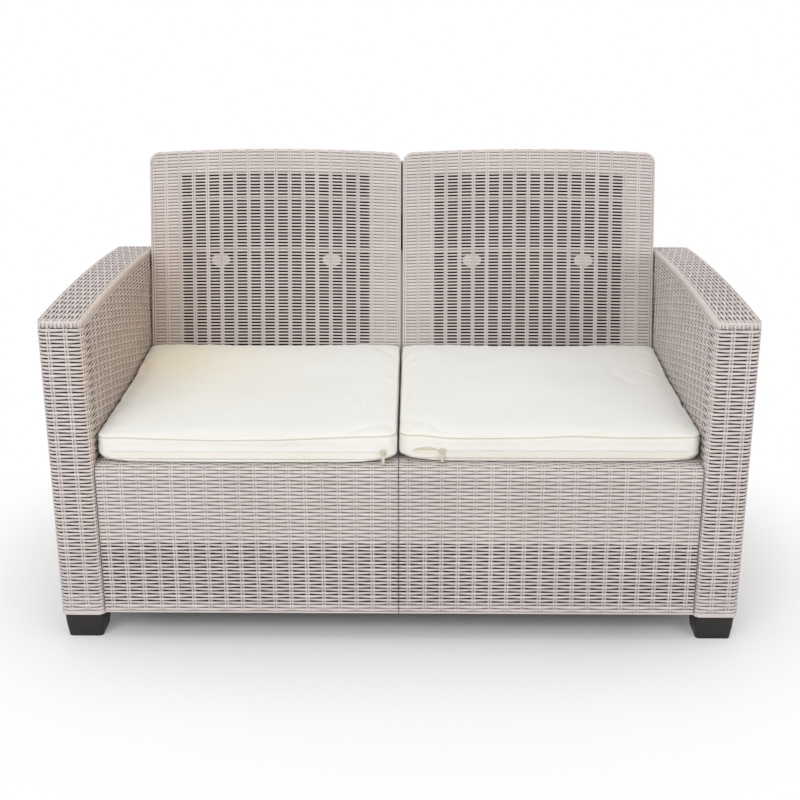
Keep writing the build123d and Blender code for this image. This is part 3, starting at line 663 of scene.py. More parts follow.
class WeaveTree(PatternTree):
    """A moulded plain weave: strands over and under pairs of thin bars, with flat webs behind the bars."""

    NAME = "plain_weave"
    FLOATS = (
        "Length", "Row Pitch", "First Stake", "Stake Pitch", "Strand Width", "Strand Depth", "Wave",
        "Swell", "Open Width", "Open From", "Open To", "Open Start", "Open End", "Level",
        "Bar Width", "Bar Depth", "Bar Gap", "Bar Level", "Web Width", "Web Depth", "Web Level",
    )
    WHOLE = ("Rows", "Stakes", "Strand Steps", "Bar Steps")

    def parts(self) -> list[Node]:
        """Adds the strands, the stakes and the webs."""
        self.height = sums(self.tree, ("MULTIPLY", self.given["Rows"], self.given["Row Pitch"]))
        self.half_way = sums(self.tree, ("MULTIPLY", self.height, 0.5))
        return [self._strands(), self._stakes(), self._webs()]

    def _waved(self, mesh: Node, grain: tuple, number: Node, moved: tuple) -> Node:
        """Stores the grain and the tone of a part, then moves its points.

        Args:
            mesh: The part.
            grain: Places along and across the strand.
            number: Number of the strand, which picks its tone.
            moved: New places along, up and proud.

        Returns:
            The part, shaded smooth.
        """
        tree = self.tree
        shifted = sums(tree, ("MULTIPLY", number, 0.377), ("ADD", None, grain[0]))
        along = put(tree, XYZ, {0: shifted, 1: grain[1]})
        tone = put(tree, "ShaderNodeTexWhiteNoise", {"W": number}, noise_dimensions="1D")
        for name, value, kind in (("grain", along, "FLOAT_VECTOR"), ("tone", tone, "FLOAT")):
            kept = {"Geometry": mesh, "Name": name, "Value": value}
            mesh = put(tree, "GeometryNodeStoreNamedAttribute", kept, data_type=kind, domain="POINT")
        smooth = put(tree, "GeometryNodeSetShadeSmooth", {"Geometry": mesh})
        place = put(tree, XYZ, dict(enumerate(moved)))
        return put(tree, "GeometryNodeSetPosition", {"Geometry": smooth, "Position": place})

    def _wave(self, phase: Node) -> Node:
        """Over and under wave, flattened at its crests, from a phase counted in stakes."""
        curve = sums(self.tree, ("MULTIPLY", phase, math.pi), ("COSINE", None))
        square = ("MULTIPLY", curve, curve)
        return sums(self.tree, square, ("MULTIPLY_ADD", None, -0.5, 1.5), ("MULTIPLY", None, curve))

    def _place(self) -> tuple:
        """Places along, up and proud of the points that a node works on."""
        places = put(self.tree, "GeometryNodeInputPosition")
        return tuple(put(self.tree, "ShaderNodeSeparateXYZ", {0: places}).outputs)

    def _strands(self) -> Node:
        """Strands that wave over and under the stakes and are narrower where the slots are open."""
        tree, given, pitch = self.tree, self.given, self.given["Row Pitch"]
        size = put(tree, XYZ, {0: given["Strand Depth"], 1: given["Strand Width"], 2: given["Length"]})
        middle = put(tree, XYZ, {0: sums(tree, ("MULTIPLY", given["Length"], 0.5))})
        strand = self._rod(6, given["Strand Steps"], size, middle, (0, math.pi / 2, 0))
        first = put(tree, XYZ, {1: sums(tree, ("MULTIPLY", pitch, 0.5))})
        line = {"Count": given["Rows"], "Start Location": first, "Offset": put(tree, XYZ, {1: pitch})}
        real = self._copies(put(tree, "GeometryNodeMeshLine", line), strand)
        along, up, proud = self._place()
        row = sums(tree, ("DIVIDE", up, pitch), ("FLOOR", None))
        centre = sums(tree, ("ADD", row, 0.5), ("MULTIPLY", None, pitch))
        stake = sums(tree, ("SUBTRACT", along, given["First Stake"]), ("DIVIDE", None, given["Stake Pitch"]))
        wave = self._wave(sums(tree, ("ADD", stake, row)))
        up_limits = (("GREATER", centre, "From"), ("LESS", centre, "To"))
        is_open = 1.0
        for test, place, end in (*up_limits, ("GREATER", along, "Start"), ("LESS", along, "End")):
            is_open = sums(tree, (f"{test}_THAN", place, given[f"Open {end}"]), ("MULTIPLY", None, is_open))
        slimmer = sums(tree, ("DIVIDE", given["Open Width"], given["Strand Width"]), ("SUBTRACT", None, 1.0))
        narrow = sums(tree, ("MULTIPLY_ADD", slimmer, is_open, 1.0))
        swell = sums(tree, ("MULTIPLY_ADD", wave, given["Swell"], 1.0), ("MULTIPLY", None, narrow))
        across = sums(tree, ("SUBTRACT", up, centre), ("MULTIPLY_ADD", None, swell, centre))
        lifted = sums(tree, ("MULTIPLY_ADD", wave, given["Wave"], proud), ("ADD", None, given["Level"]))
        return self._waved(real, (along, up), row, (along, across, lifted))

    def _columns(self, copies: int) -> Node:
        """Points at the stakes, each with one or two copies side by side.

        Args:
            copies: How many copies each stake has.

        Returns:
            The node that gives the points.
        """
        tree, given, many = self.tree, self.given, float(copies)
        line = put(tree, "GeometryNodeMeshLine", {"Count": sums(tree, ("MULTIPLY", given["Stakes"], many))})
        number = put(tree, "GeometryNodeInputIndex")
        column = sums(tree, ("DIVIDE", number, many), ("FLOOR", None))
        beside = ("MULTIPLY_ADD", column, -many, number)
        side = sums(tree, beside, ("SUBTRACT", None, (copies - 1) / 2), ("MULTIPLY", None, given["Bar Gap"]))
        stake = ("MULTIPLY_ADD", column, given["Stake Pitch"], given["First Stake"])
        spot = put(tree, XYZ, {0: sums(tree, stake, ("ADD", None, side))})
        return put(tree, "GeometryNodeSetPosition", {"Geometry": line, "Position": spot})

    def _stakes(self) -> Node:
        """Stakes as pairs of thin bars that wave the other way."""
        tree, given = self.tree, self.given
        size = put(tree, XYZ, {0: given["Bar Width"], 1: given["Bar Depth"], 2: self.height})
        middle = put(tree, XYZ, {1: self.half_way})
        bar = self._rod(4, given["Bar Steps"], size, middle, (-math.pi / 2, math.pi / 4, 0))
        real = self._copies(self._columns(2), bar)
        along, up, proud = self._place()
        stake = ("SUBTRACT", along, given["First Stake"])
        column = sums(tree, stake, ("DIVIDE", None, given["Stake Pitch"]), ("ROUND", None))
        row = ("DIVIDE", up, given["Row Pitch"])
        wave = self._wave(sums(tree, row, ("SUBTRACT", None, 0.5), ("ADD", None, column)))
        reach = sums(tree, ("MULTIPLY", given["Wave"], -1.35))
        lifted = sums(tree, ("MULTIPLY_ADD", wave, reach, proud), ("ADD", None, given["Bar Level"]))
        return self._waved(real, (up, along), column, (along, up, lifted))

    def _webs(self) -> Node:
        """Flat webs behind the stakes, which part the slots from each other."""
        tree, given = self.tree, self.given
        size = put(tree, XYZ, {0: given["Web Width"], 1: self.height, 2: given["Web Depth"]})
        steps = sums(tree, ("MULTIPLY", given["Rows"], 0.25), ("ADD", None, 2.0))
        web = put(tree, "GeometryNodeMeshCube", {"Size": size, "Vertices X": 3, "Vertices Y": steps})
        middle = put(tree, XYZ, {1: self.half_way, 2: given["Web Level"]})
        laid = put(tree, "GeometryNodeTransform", {"Geometry": web, "Translation": middle})
        return self._copies(self._columns(1), laid)


class CoilTree(PatternTree):
    """One half of a coil zip: bent thread side by side along X."""

    NAME = "zip_coil"
    FLOATS = ("Length", "Pitch", "Loop Height", "Loop Thread", "Slant")

    def parts(self) -> list[Node]:
        """Adds the loops of thread."""
        tree, given = self.tree, self.given
        count = sums(tree, ("DIVIDE", given["Length"], given["Pitch"]), ("FLOOR", None))
        line = {"Count": count, "Offset": put(tree, XYZ, {0: given["Pitch"]})}
        thread = given["Loop Thread"]
        size = put(tree, XYZ, {0: thread, 1: thread, 2: given["Loop Height"]})
        turn = put(tree, XYZ, {0: math.pi / 2, 2: given["Slant"]})
        loop = self._rod(6, 2, size, (0, 0, 0), turn)
        whole = self._copies(put(tree, "GeometryNodeMeshLine", line), loop)
        return [put(tree, "GeometryNodeSetShadeSmooth", {"Geometry": whole})]


def even(height: float, pitch: float = 6.84 * MM) -> float:
    """The row pitch nearest to the usual one that divides a height evenly."""
    return height / max(1, round(height / pitch))


@dataclass
class Weave:
    """Sizes of one moulded weave; rows run along the wall and stakes up it."""

    length: float
    height: float
    row_pitch: float = 6.84 * MM
    stake_pitch: float = 30.0 * MM
    first_stake: float = 15.0 * MM
    strand_width: float = 5.7 * MM
    open_width: float = 5.1 * MM
    strand_depth: float = 3.0 * MM
    wave: float = 0.75 * MM
    swell: float = 0.08
    bar_width: float = 3.2 * MM
    bar_depth: float = 3.2 * MM
    bar_gap: float = 4.7 * MM
    bar_level: float = -2.0 * MM
    web_width: float = 8.6 * MM
    web_depth: float = 1.2 * MM
    web_level: float = -4.4 * MM
    level: float = -2.1 * MM
    open_from: float = 0.0
    open_to: float = 0.0
    open_start: float = 0.0
    open_end: float = 9.0
    # painted shade: tone added to what lies deeper than deep_from, growing over deep_reach
    deep_from: float = 1.9 * MM
    deep_reach: float = 1.4 * MM
    painted_depth_shade: float = 4.0
    steps_per_stake: int = 4
    bars_per_row: float = 2.0

    def draw(self, tree: WeaveTree, finish: Material) -> Mesher:
        """Runs the tree with these sizes, and paints shade on what lies deep in the weave.

        Args:
            tree: The weave's tree.
            finish: The resin.

        Returns:
            The weave as flat parts.
        """
        pitch = even(self.height, self.row_pitch)
        rows = round(self.height / pitch)
        values = {name: getattr(self, name.lower().replace(" ", "_")) for name in tree.FLOATS} | {
            "Row Pitch": pitch,
            "Rows": rows,
            "Stakes": int((self.length - self.first_stake) / self.stake_pitch) + 1,
            "Strand Steps": round(self.length / self.stake_pitch * self.steps_per_stake),
            "Bar Steps": max(1, round(rows * self.bars_per_row)),
            "Finish": finish,
        }
        drawn = tree.run(values)
        # painted shade, darker the deeper a point lies
        deep = np.clip((-drawn.points[0][:, 2] - self.deep_from) / self.deep_reach, 0, 1)
        drawn.tone[0] = drawn.tone[0] + self.painted_depth_shade * deep
        return drawn


class Arch:
    """The arm's long top curve, an arc through its front, middle and rear heights."""

    def __init__(self, front: Pair, middle: Pair, rear: Pair) -> None:
        """Finds the arc's middle from three points, each a depth and a height."""
        (ay, az), (by, bz), (cy, cz) = front, middle, rear
        system = np.array([[by - ay, bz - az], [cy - ay, cz - az]]) * 2
        ends = np.array([by**2 + bz**2 - ay**2 - az**2, cy**2 + cz**2 - ay**2 - az**2])
        self.y, self.z = np.linalg.solve(system, ends)
        self.radius = math.hypot(ay - self.y, az - self.z)

    def height(self, y: Array) -> Array:
        """Height of the arm's top at a depth."""
        return self.z + np.sqrt(self.radius**2 - (y - self.y) ** 2)


@dataclass
class StandingWall(Surface):
    """An upright wall on a plan path, from a level base up to an arch, or straight up without one."""

    path: RoundedPath
    base: float
    arch: Arch | None = None
    drop: float = 0.0
    height: float = 1.0

    def at(self, along: Array, up: Array, proud: Array) -> Array:
        """Stands the flat pattern on the path and stretches it up to the arch."""
        plan, heading = self.path.at(along)
        outward = np.stack([heading[:, 1], -heading[:, 0]], axis=1)
        stretch = (self.arch.height(plan[:, 1]) - self.drop - self.base) if self.arch else 1.0
        return np.column_stack([plan + outward * proud[:, None], self.base + up * stretch / self.height])


@dataclass
class ArchedTop(Surface):
    """The top of an arm: along runs up the nose and then to the rear, up runs outwards across the arm."""

    inner_x: float
    outer_x: float
    front_y: float
    rear_y: float
    arch: Arch
    nose: RoundedPath
    corner: float
    eased_over: float = 110 * MM

    def at(self, along: Array, up: Array, proud: Array) -> Array:
        """Lays the flat pattern over the nose and on the arch, drawn in at the rounded corners."""
        spot, heading = self.nose.at(along)
        x = self.inner_x - up
        into = np.clip(self.corner - np.minimum(up, x - self.outer_x), 0, self.corner)
        setback = self.corner - np.sqrt(self.corner**2 - into**2)
        y = self.front_y + spot[:, 0]
        at_front = np.clip(1 - (y - self.front_y) / self.eased_over, 0, 1)
        at_rear = np.clip(1 - (self.rear_y - y) / self.eased_over, 0, 1)
        y = y + setback * (at_front - at_rear) - heading[:, 1] * proud
        return np.column_stack([x, y, self.arch.height(y) + spot[:, 1] + heading[:, 0] * proud])


@dataclass
class BentSection(Surface):
    """A wall that runs straight across and follows a section of depth and height."""

    section: RoundedPath
    start_x: float

    def at(self, along: Array, up: Array, proud: Array) -> Array:
        """Bends the flat pattern over the section."""
        spot, heading = self.section.at(up)
        bent = spot + np.column_stack([-heading[:, 1], heading[:, 0]]) * proud[:, None]
        return np.column_stack([self.start_x + along, bent])


@dataclass
class FlatWall(Surface):
    """A flat upright wall seen from behind: along runs towards the left."""

    start_x: float
    y: float
    base: float

    def at(self, along: Array, up: Array, proud: Array) -> Array:
        """Stands the flat pattern up, facing the rear."""
        return np.column_stack([self.start_x - along, self.y + proud, self.base + up])


@dataclass
class LeaningBack(Surface):
    """One face of a back: bowed in front or flat behind, under an arched top with rounded corners."""

    middle_x: float
    base_y: float
    base_z: float
    width: float
    height: float
    lean: float
    bow: float
    top_arch: float
    corner: float
    face_y: float = 0.0
    rear: bool = False

    def bowed(self, across: Array) -> Array:
        """Depth of the bowed face at places across the back."""
        radius = ((self.width / 2) ** 2 + self.bow**2) / (2 * self.bow)
        return np.sqrt(radius**2 - across**2) - radius

    def at(self, along: Array, up: Array, proud: Array) -> Array:
        """Lays the flat pattern on the face, whose rows follow the arched top."""
        half, edge = self.width / 2, 2.2 * self.corner
        across = (half - along) if self.rear else (along - half)
        top = self.height - self.top_arch * (across / half) ** 2
        level = up * top / self.height
        reach = np.clip(level - (top - self.corner), 0, self.corner)
        cut = self.corner - np.sqrt(np.maximum(self.corner**2 - reach**2, 0))
        across = across - np.sign(across) * cut * np.clip((np.abs(across) - (half - edge)) / edge, 0, 1)
        deep = self.face_y + (proud if self.rear else self.bowed(across) - proud)
        return self.lean_over(across, deep, level)

    def lean_over(self, across: Array, depth: Array, level: Array) -> Array:
        """Leans places drawn upright, across, deep and up, onto the back's place."""
        sine, cosine = math.sin(self.lean), math.cos(self.lean)
        y, z = depth * cosine + level * sine, level * cosine - depth * sine
        return np.column_stack([self.middle_x + across, self.base_y + y, self.base_z + z])


def piece(obj: Object, body: str, slot: str, *nodes: str) -> Object:
    """Puts a piece on its body, hides the nodes that it stands for and reports it.

    Args:
        obj: The piece.
        body: Node of the body that it rides on.
        slot: Name of its material slot; not used.
        nodes: CAD nodes that it stands for.

    Returns:
        The piece.
    """
    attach(obj, body)
    if nodes:
        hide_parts(*nodes)
    LOG.info("%s: %d faces on %s", obj.name, len(obj.data.polygons), body)
    return obj


@dataclass(frozen=True)
class WarmLightPatch:
    """Painted warm light on a left resin piece: strongest at a place beside the seat, weaker further off."""

    reach: Triple
    most: float
    middle: Triple = (-543 * MM, 60 * MM, 500 * MM)

    def mark(self, mesh: Mesh) -> None:
        """Stores the share of painted warm light on each point of a piece, as its 'warm' attribute."""
        away = (((places_of(mesh) - np.array(self.middle)) / np.array(self.reach)) ** 2).sum(axis=1)
        store(mesh, "warm", self.most * np.exp(-away))


@dataclass
class Moulding:
    """A sub-assembly moulded in a rattan pattern: its loom, its finishes and what its walls share."""

    tree: WeaveTree
    finishes: Finishes
    wall: float = 4 * MM
    backing: Pair = (-5.4 * MM, -4.1 * MM)
    # painted shade: tone of the plain floors behind the strands, which darkens them towards the resin's shade
    # colour
    painted_floor_shade: float = 5.0
    # depth of the near-black liner of painted shade behind open slots
    liner_depth: float = 8 * MM

    def woven(self, weave: Weave, up: float = 0.0) -> Mesher:
        """Draws a weave in resin, a distance up its wall."""
        return weave.draw(self.tree, self.finishes.resin).shift(up=up)

    def both_sides(self, drawn: Mesher, name: str, *nodes: str, warm_patch: WarmLightPatch | None = None) -> None:
        """Makes a left resin piece and its mirror image, each for the nodes of its own side.

        Args:
            drawn: The left piece.
            name: Name of the piece without its side.
            *nodes: Names of the CAD nodes that it stands for, without their side.
            warm_patch: Where warm light is painted on the left piece.
        """
        materials = [self.finishes.resin, self.finishes.shade_liner]
        for side in Side:
            made = drawn.make(f"{name}_{side.value}", materials, mirrored=side is Side.RIGHT)
            if warm_patch and side is Side.LEFT:
                warm_patch.mark(made.data)
            piece(made, "frame", "rattan_resin", *[f"{node}_{side.value}" for node in nodes])


@dataclass
class Arm(Moulding):
    """An arm: woven case wrapped round pillar, side and rear post, inner wall and arched cap."""

    front_height: float = 610 * MM
    middle_height: float = 614 * MM
    rear_height: float = 597 * MM
    cap_height: float = 12 * MM
    seam: float = 0.6 * MM
    outer_round: float = 12 * MM
    inner_round: float = 14 * MM
    lip: float = 34 * MM
    hem: float = 8 * MM
    stake_from_edge: float = 20 * MM
    stake_pitch: float = 30 * MM
    closed_rows: int = 4
    closed_ends: float = 33 * MM
    # painted shade of the cap's deep floor
    painted_depth_shade: float = 7.5
    deck_level: float = 336 * MM
    fine_strand: float = 4.5 * MM
    cap_rim: float = 2.2 * MM
    cap_lip: float = 9.5 * MM
    cap_nose: float = 5 * MM
    cap_row: float = 7 * MM
    cap_floor: float = -4.4 * MM

    def __post_init__(self) -> None:
        """Reads the case's box and finds its arch and heights."""
        low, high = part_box("arm_shell_left")
        self.outer_x, self.inner_x = low.x, high.x
        self.front_y, self.rear_y, self.base = low.y, high.y, low.z
        self.middle_y = (self.front_y + self.rear_y) / 2
        front, rear = (self.front_y, self.front_height), (self.rear_y, self.rear_height)
        self.arch = Arch(front, (self.middle_y, self.middle_height), rear)
        self.case_height = self.front_height - self.cap_height - self.seam - self.base
        self.weave_height = self.case_height - self.hem
        self.pitch = even(self.weave_height)

    def plan(self, first_y: float, last_y: float) -> RoundedPath:
        """Plan path round the outside, from the rear of the inner side to its front."""
        corners = [(self.outer_x, self.rear_y), (self.outer_x, self.front_y), (self.inner_x, self.front_y)]
        corners = [(self.inner_x, first_y), (self.inner_x, self.rear_y), *corners, (self.inner_x, last_y)]
        return RoundedPath(corners, [self.inner_round, self.outer_round, self.outer_round, self.inner_round])

    def wall_on(self, path: RoundedPath) -> StandingWall:
        """The upright surface on a plan path."""
        return StandingWall(path, self.base, self.arch, self.cap_height + self.seam, self.case_height)

    def case(self) -> tuple[Mesher, Mesher]:
        """Draws the outer case.

        Returns:
            The weave, and the plain wall behind it with its hem and its near-black liner of painted shade.
        """
        path = self.plan(self.rear_y - self.lip, self.front_y + self.lip)
        length, hem, top, tone = path.length, self.hem, self.case_height, self.painted_floor_shade
        front_run = path.pieces[6][0]
        weave = Weave(
            length,
            self.weave_height,
            first_stake=(front_run + self.stake_from_edge - self.outer_round) % self.stake_pitch,
            open_from=self.closed_rows * self.pitch,
            open_to=self.weave_height - self.pitch / 2,
            open_start=self.closed_ends,
            open_end=length - self.closed_ends,
        )
        surface, plain, steps = self.wall_on(path), Mesher(), 220
        back, front = self.backing
        plain.block((0, 0, -self.wall), (length, hem, -0.2 * MM), (steps, 1))
        # floors behind the closed rows and the closed ends, darkened by painted shade
        plain.block((0, hem - MM, back), (length, hem + weave.open_from, front), (steps, 1), tone=tone)
        for start, end in ((0, self.closed_ends), (weave.open_end, length)):
            plain.block((start, hem - MM, back), (end, top, front), (16, 2), tone=tone)
        # near-black liner behind the open slots: painted shade
        liner, low = -self.liner_depth, (self.lip, hem - MM, -self.liner_depth - MM)
        plain.block(low, (length - self.lip, top - MM, liner), (steps, 2), finish=1)
        return self.woven(weave, hem).place(surface), plain.place(surface)

    def inner_wall(self) -> Mesher:
        """Draws the wall that faces the cushions, woven above the seat and plain below it."""
        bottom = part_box("arm_inner_panel_left")[0].z - self.base
        gap = 0.3 * MM
        start, end = self.front_y + self.lip + gap, self.rear_y - self.lip - gap
        path = RoundedPath([(self.inner_x, start), (self.inner_x, end)], [])
        skipped = 2 * int((self.deck_level - self.base - self.hem) / self.pitch / 2) * self.pitch
        sizes = {"first_stake": 28 * MM, "strand_width": self.fine_strand, "web_width": 5 * MM}
        wall = self.woven(Weave(path.length, self.weave_height - skipped, **sizes), self.hem + skipped)
        back, front = self.backing
        # floor behind the woven part, darkened by painted shade
        wall.block((0, bottom, back), (path.length, self.case_height, front), (40, 4), tone=self.painted_floor_shade)
        wall.block((0, bottom, back), (path.length, self.hem + skipped, -0.3 * MM), (40, 4))
        return wall.place(self.wall_on(path))

    def cap_body(self) -> Mesher:
        """Draws the cap's rim and side wall, round the whole arm."""
        path = self.plan(self.middle_y, self.middle_y)
        plan, heading = path.at(np.linspace(0, path.length, 420, endpoint=False))
        inward = np.stack([-heading[:, 1], heading[:, 0]], axis=1)
        behind_nose = 3.2 * MM * np.clip((self.front_y + self.inner_round - plan[:, 1]) / (8 * MM), 0, 1)
        rim, bottom, floor = self.cap_rim, -self.cap_height, (12 * MM, -5.4 * MM)
        section = [(0.0, bottom), (0.0, -1.8 * MM), (0.5 * MM, -0.8 * MM), (1.3 * MM, -0.5 * MM)]
        section += [(rim, -1.2 * MM), (rim + 0.3 * MM, -3.4 * MM), floor, (12 * MM, bottom)]
        rings = []
        for inset, drop in section:
            spot = plan + inward * (inset + behind_nose)[:, None]
            rings.append(np.column_stack([spot, self.arch.height(plan[:, 1]) + drop]))
        drawn = Mesher()
        drawn.net(np.array(rings))
        return drawn

    def cap(self) -> Mesher:
        """Draws the cap: strands that run back from a rounded nose, a double lip inside and a side wall."""
        length = self.rear_y - self.front_y + self.cap_height - self.cap_rim
        width = self.inner_x - self.outer_x - self.cap_rim - self.cap_lip
        sizes = {"wave": 0.85 * MM, "web_width": 5.6 * MM, "web_level": -4.1 * MM, "first_stake": 24 * MM}
        weave = Weave(length, width, row_pitch=self.cap_row, strand_width=self.fine_strand, **sizes)
        sizes = {"strand_width": 4 * MM, "strand_depth": 3.4 * MM, "wave": 0.12 * MM, "bar_level": -1.6 * MM}
        lip_width = self.cap_lip - self.cap_rim
        lip = Weave(length, lip_width, row_pitch=lip_width / 2, first_stake=24 * MM, **sizes)
        field = self.woven(weave, self.cap_lip).take(self.woven(lip, self.cap_rim))
        nose, tone = self.cap_height + self.cap_nose, self.painted_floor_shade
        edge, floor = self.cap_rim + self.cap_lip + width, self.cap_floor
        # floors under the nose, the lip and the field, darkened by painted shade, most under the field
        field.block((0, self.cap_rim, -5.4 * MM), (nose, edge, -3.6 * MM), (14, 24), tone=tone / 2)
        field.block((0, self.cap_rim, -6 * MM), (length, self.cap_lip, -3.6 * MM), (90, 4), tone=tone)
        field.block((nose, self.cap_lip, -6 * MM), (length, edge, floor), (90, 1), tone=self.painted_depth_shade)
        over_nose = RoundedPath([(0, -self.cap_height), (0, 0), (self.lip, 0)], [self.cap_nose])
        sides = (self.inner_x, self.outer_x, self.front_y, self.rear_y)
        return self.cap_body().take(field.place(ArchedTop(*sides, self.arch, over_nose, self.inner_round)))

    def build(self) -> None:
        """Builds both arms."""
        woven, plain = self.case()
        # painted warm light on the left arm's pieces beside the seat
        beside_seat = WarmLightPatch((14 * MM, 900 * MM, 210 * MM), 0.55)
        self.both_sides(woven, "arm_weave", "arm_shell", warm_patch=beside_seat)
        self.both_sides(plain, "arm_wall")
        self.both_sides(self.inner_wall(), "arm_inner_wall", "arm_inner_panel", warm_patch=beside_seat)
        self.both_sides(self.cap(), "arm_cap", "arm_top_cap", warm_patch=beside_seat)


@dataclass
class Aprons(Moulding):
    """The woven walls below the seat, pierced low down in front and closed behind."""

    nose: float = 16 * MM
    hem: float = 3 * MM
    hem_top: float = -0.5 * MM
    hem_return: float = 14 * MM
    closed_low_rows: int = 2
    open_rows: int = 18
    first_stake: float = 15.5 * MM

    def front(self) -> Mesher:
        """Draws the left front apron, which bends back over a nose under the cushion."""
        low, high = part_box("front_apron_left")
        section = RoundedPath([(low.y, low.z), (low.y, high.z), (high.y, high.z)], [self.nose])
        width, height = high.x - low.x, section.length - self.hem
        opens = self.closed_low_rows * even(height)
        closes = opens + self.open_rows * even(height)
        slots = {"open_width": 4.6 * MM, "open_from": opens, "open_to": closes}
        apron = self.woven(Weave(width, height, first_stake=self.first_stake, **slots), self.hem)
        apron.block((0, 0, -self.wall), (width, self.hem, self.hem_top))
        opens, closes, tone = self.hem + opens, self.hem + closes, self.painted_floor_shade
        back, front = self.backing
        # floors behind the closed rows, darkened by painted shade
        apron.block((0, self.hem - MM, back), (width, opens, front), tone=tone)
        apron.block((0, closes, back), (width, section.length, front), (1, 40), tone=tone)
        # near-black liner behind the open slots: painted shade
        liner = -self.liner_depth
        apron.block((0, opens - MM, liner - MM), (width, closes + MM, liner), finish=1)
        lip = Mesher()
        lip.block((low.x, low.y + self.wall, low.z), (high.x, low.y + self.hem_return, low.z + self.wall))
        return apron.place(BentSection(section, low.x)).take(lip)

    def rear(self) -> Mesher:
        """Draws the left rear apron, closed all over."""
        low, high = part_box("rear_apron_left")
        width, height = high.x - low.x, high.z - low.z
        apron = self.woven(Weave(width, height - self.hem, first_stake=self.first_stake), self.hem)
        # floor behind the strands, darkened by painted shade
        apron.block((0, 0, self.backing[0]), (width, height, self.backing[1]), tone=self.painted_floor_shade)
        apron.block((0, 0, -self.wall), (width, self.hem, self.hem_top))
        lips = Mesher()
        for bottom in (low.z, high.z - self.wall):
            lips.block((low.x, low.y, bottom), (high.x, high.y - self.wall, bottom + self.wall))
        return apron.place(FlatWall(high.x, high.y, low.z)).take(lips)

    def build(self) -> None:
        """Builds the four aprons."""
        self.both_sides(self.front(), "front_apron_weave", "front_apron")
        self.both_sides(self.rear(), "rear_apron_weave", "rear_apron")


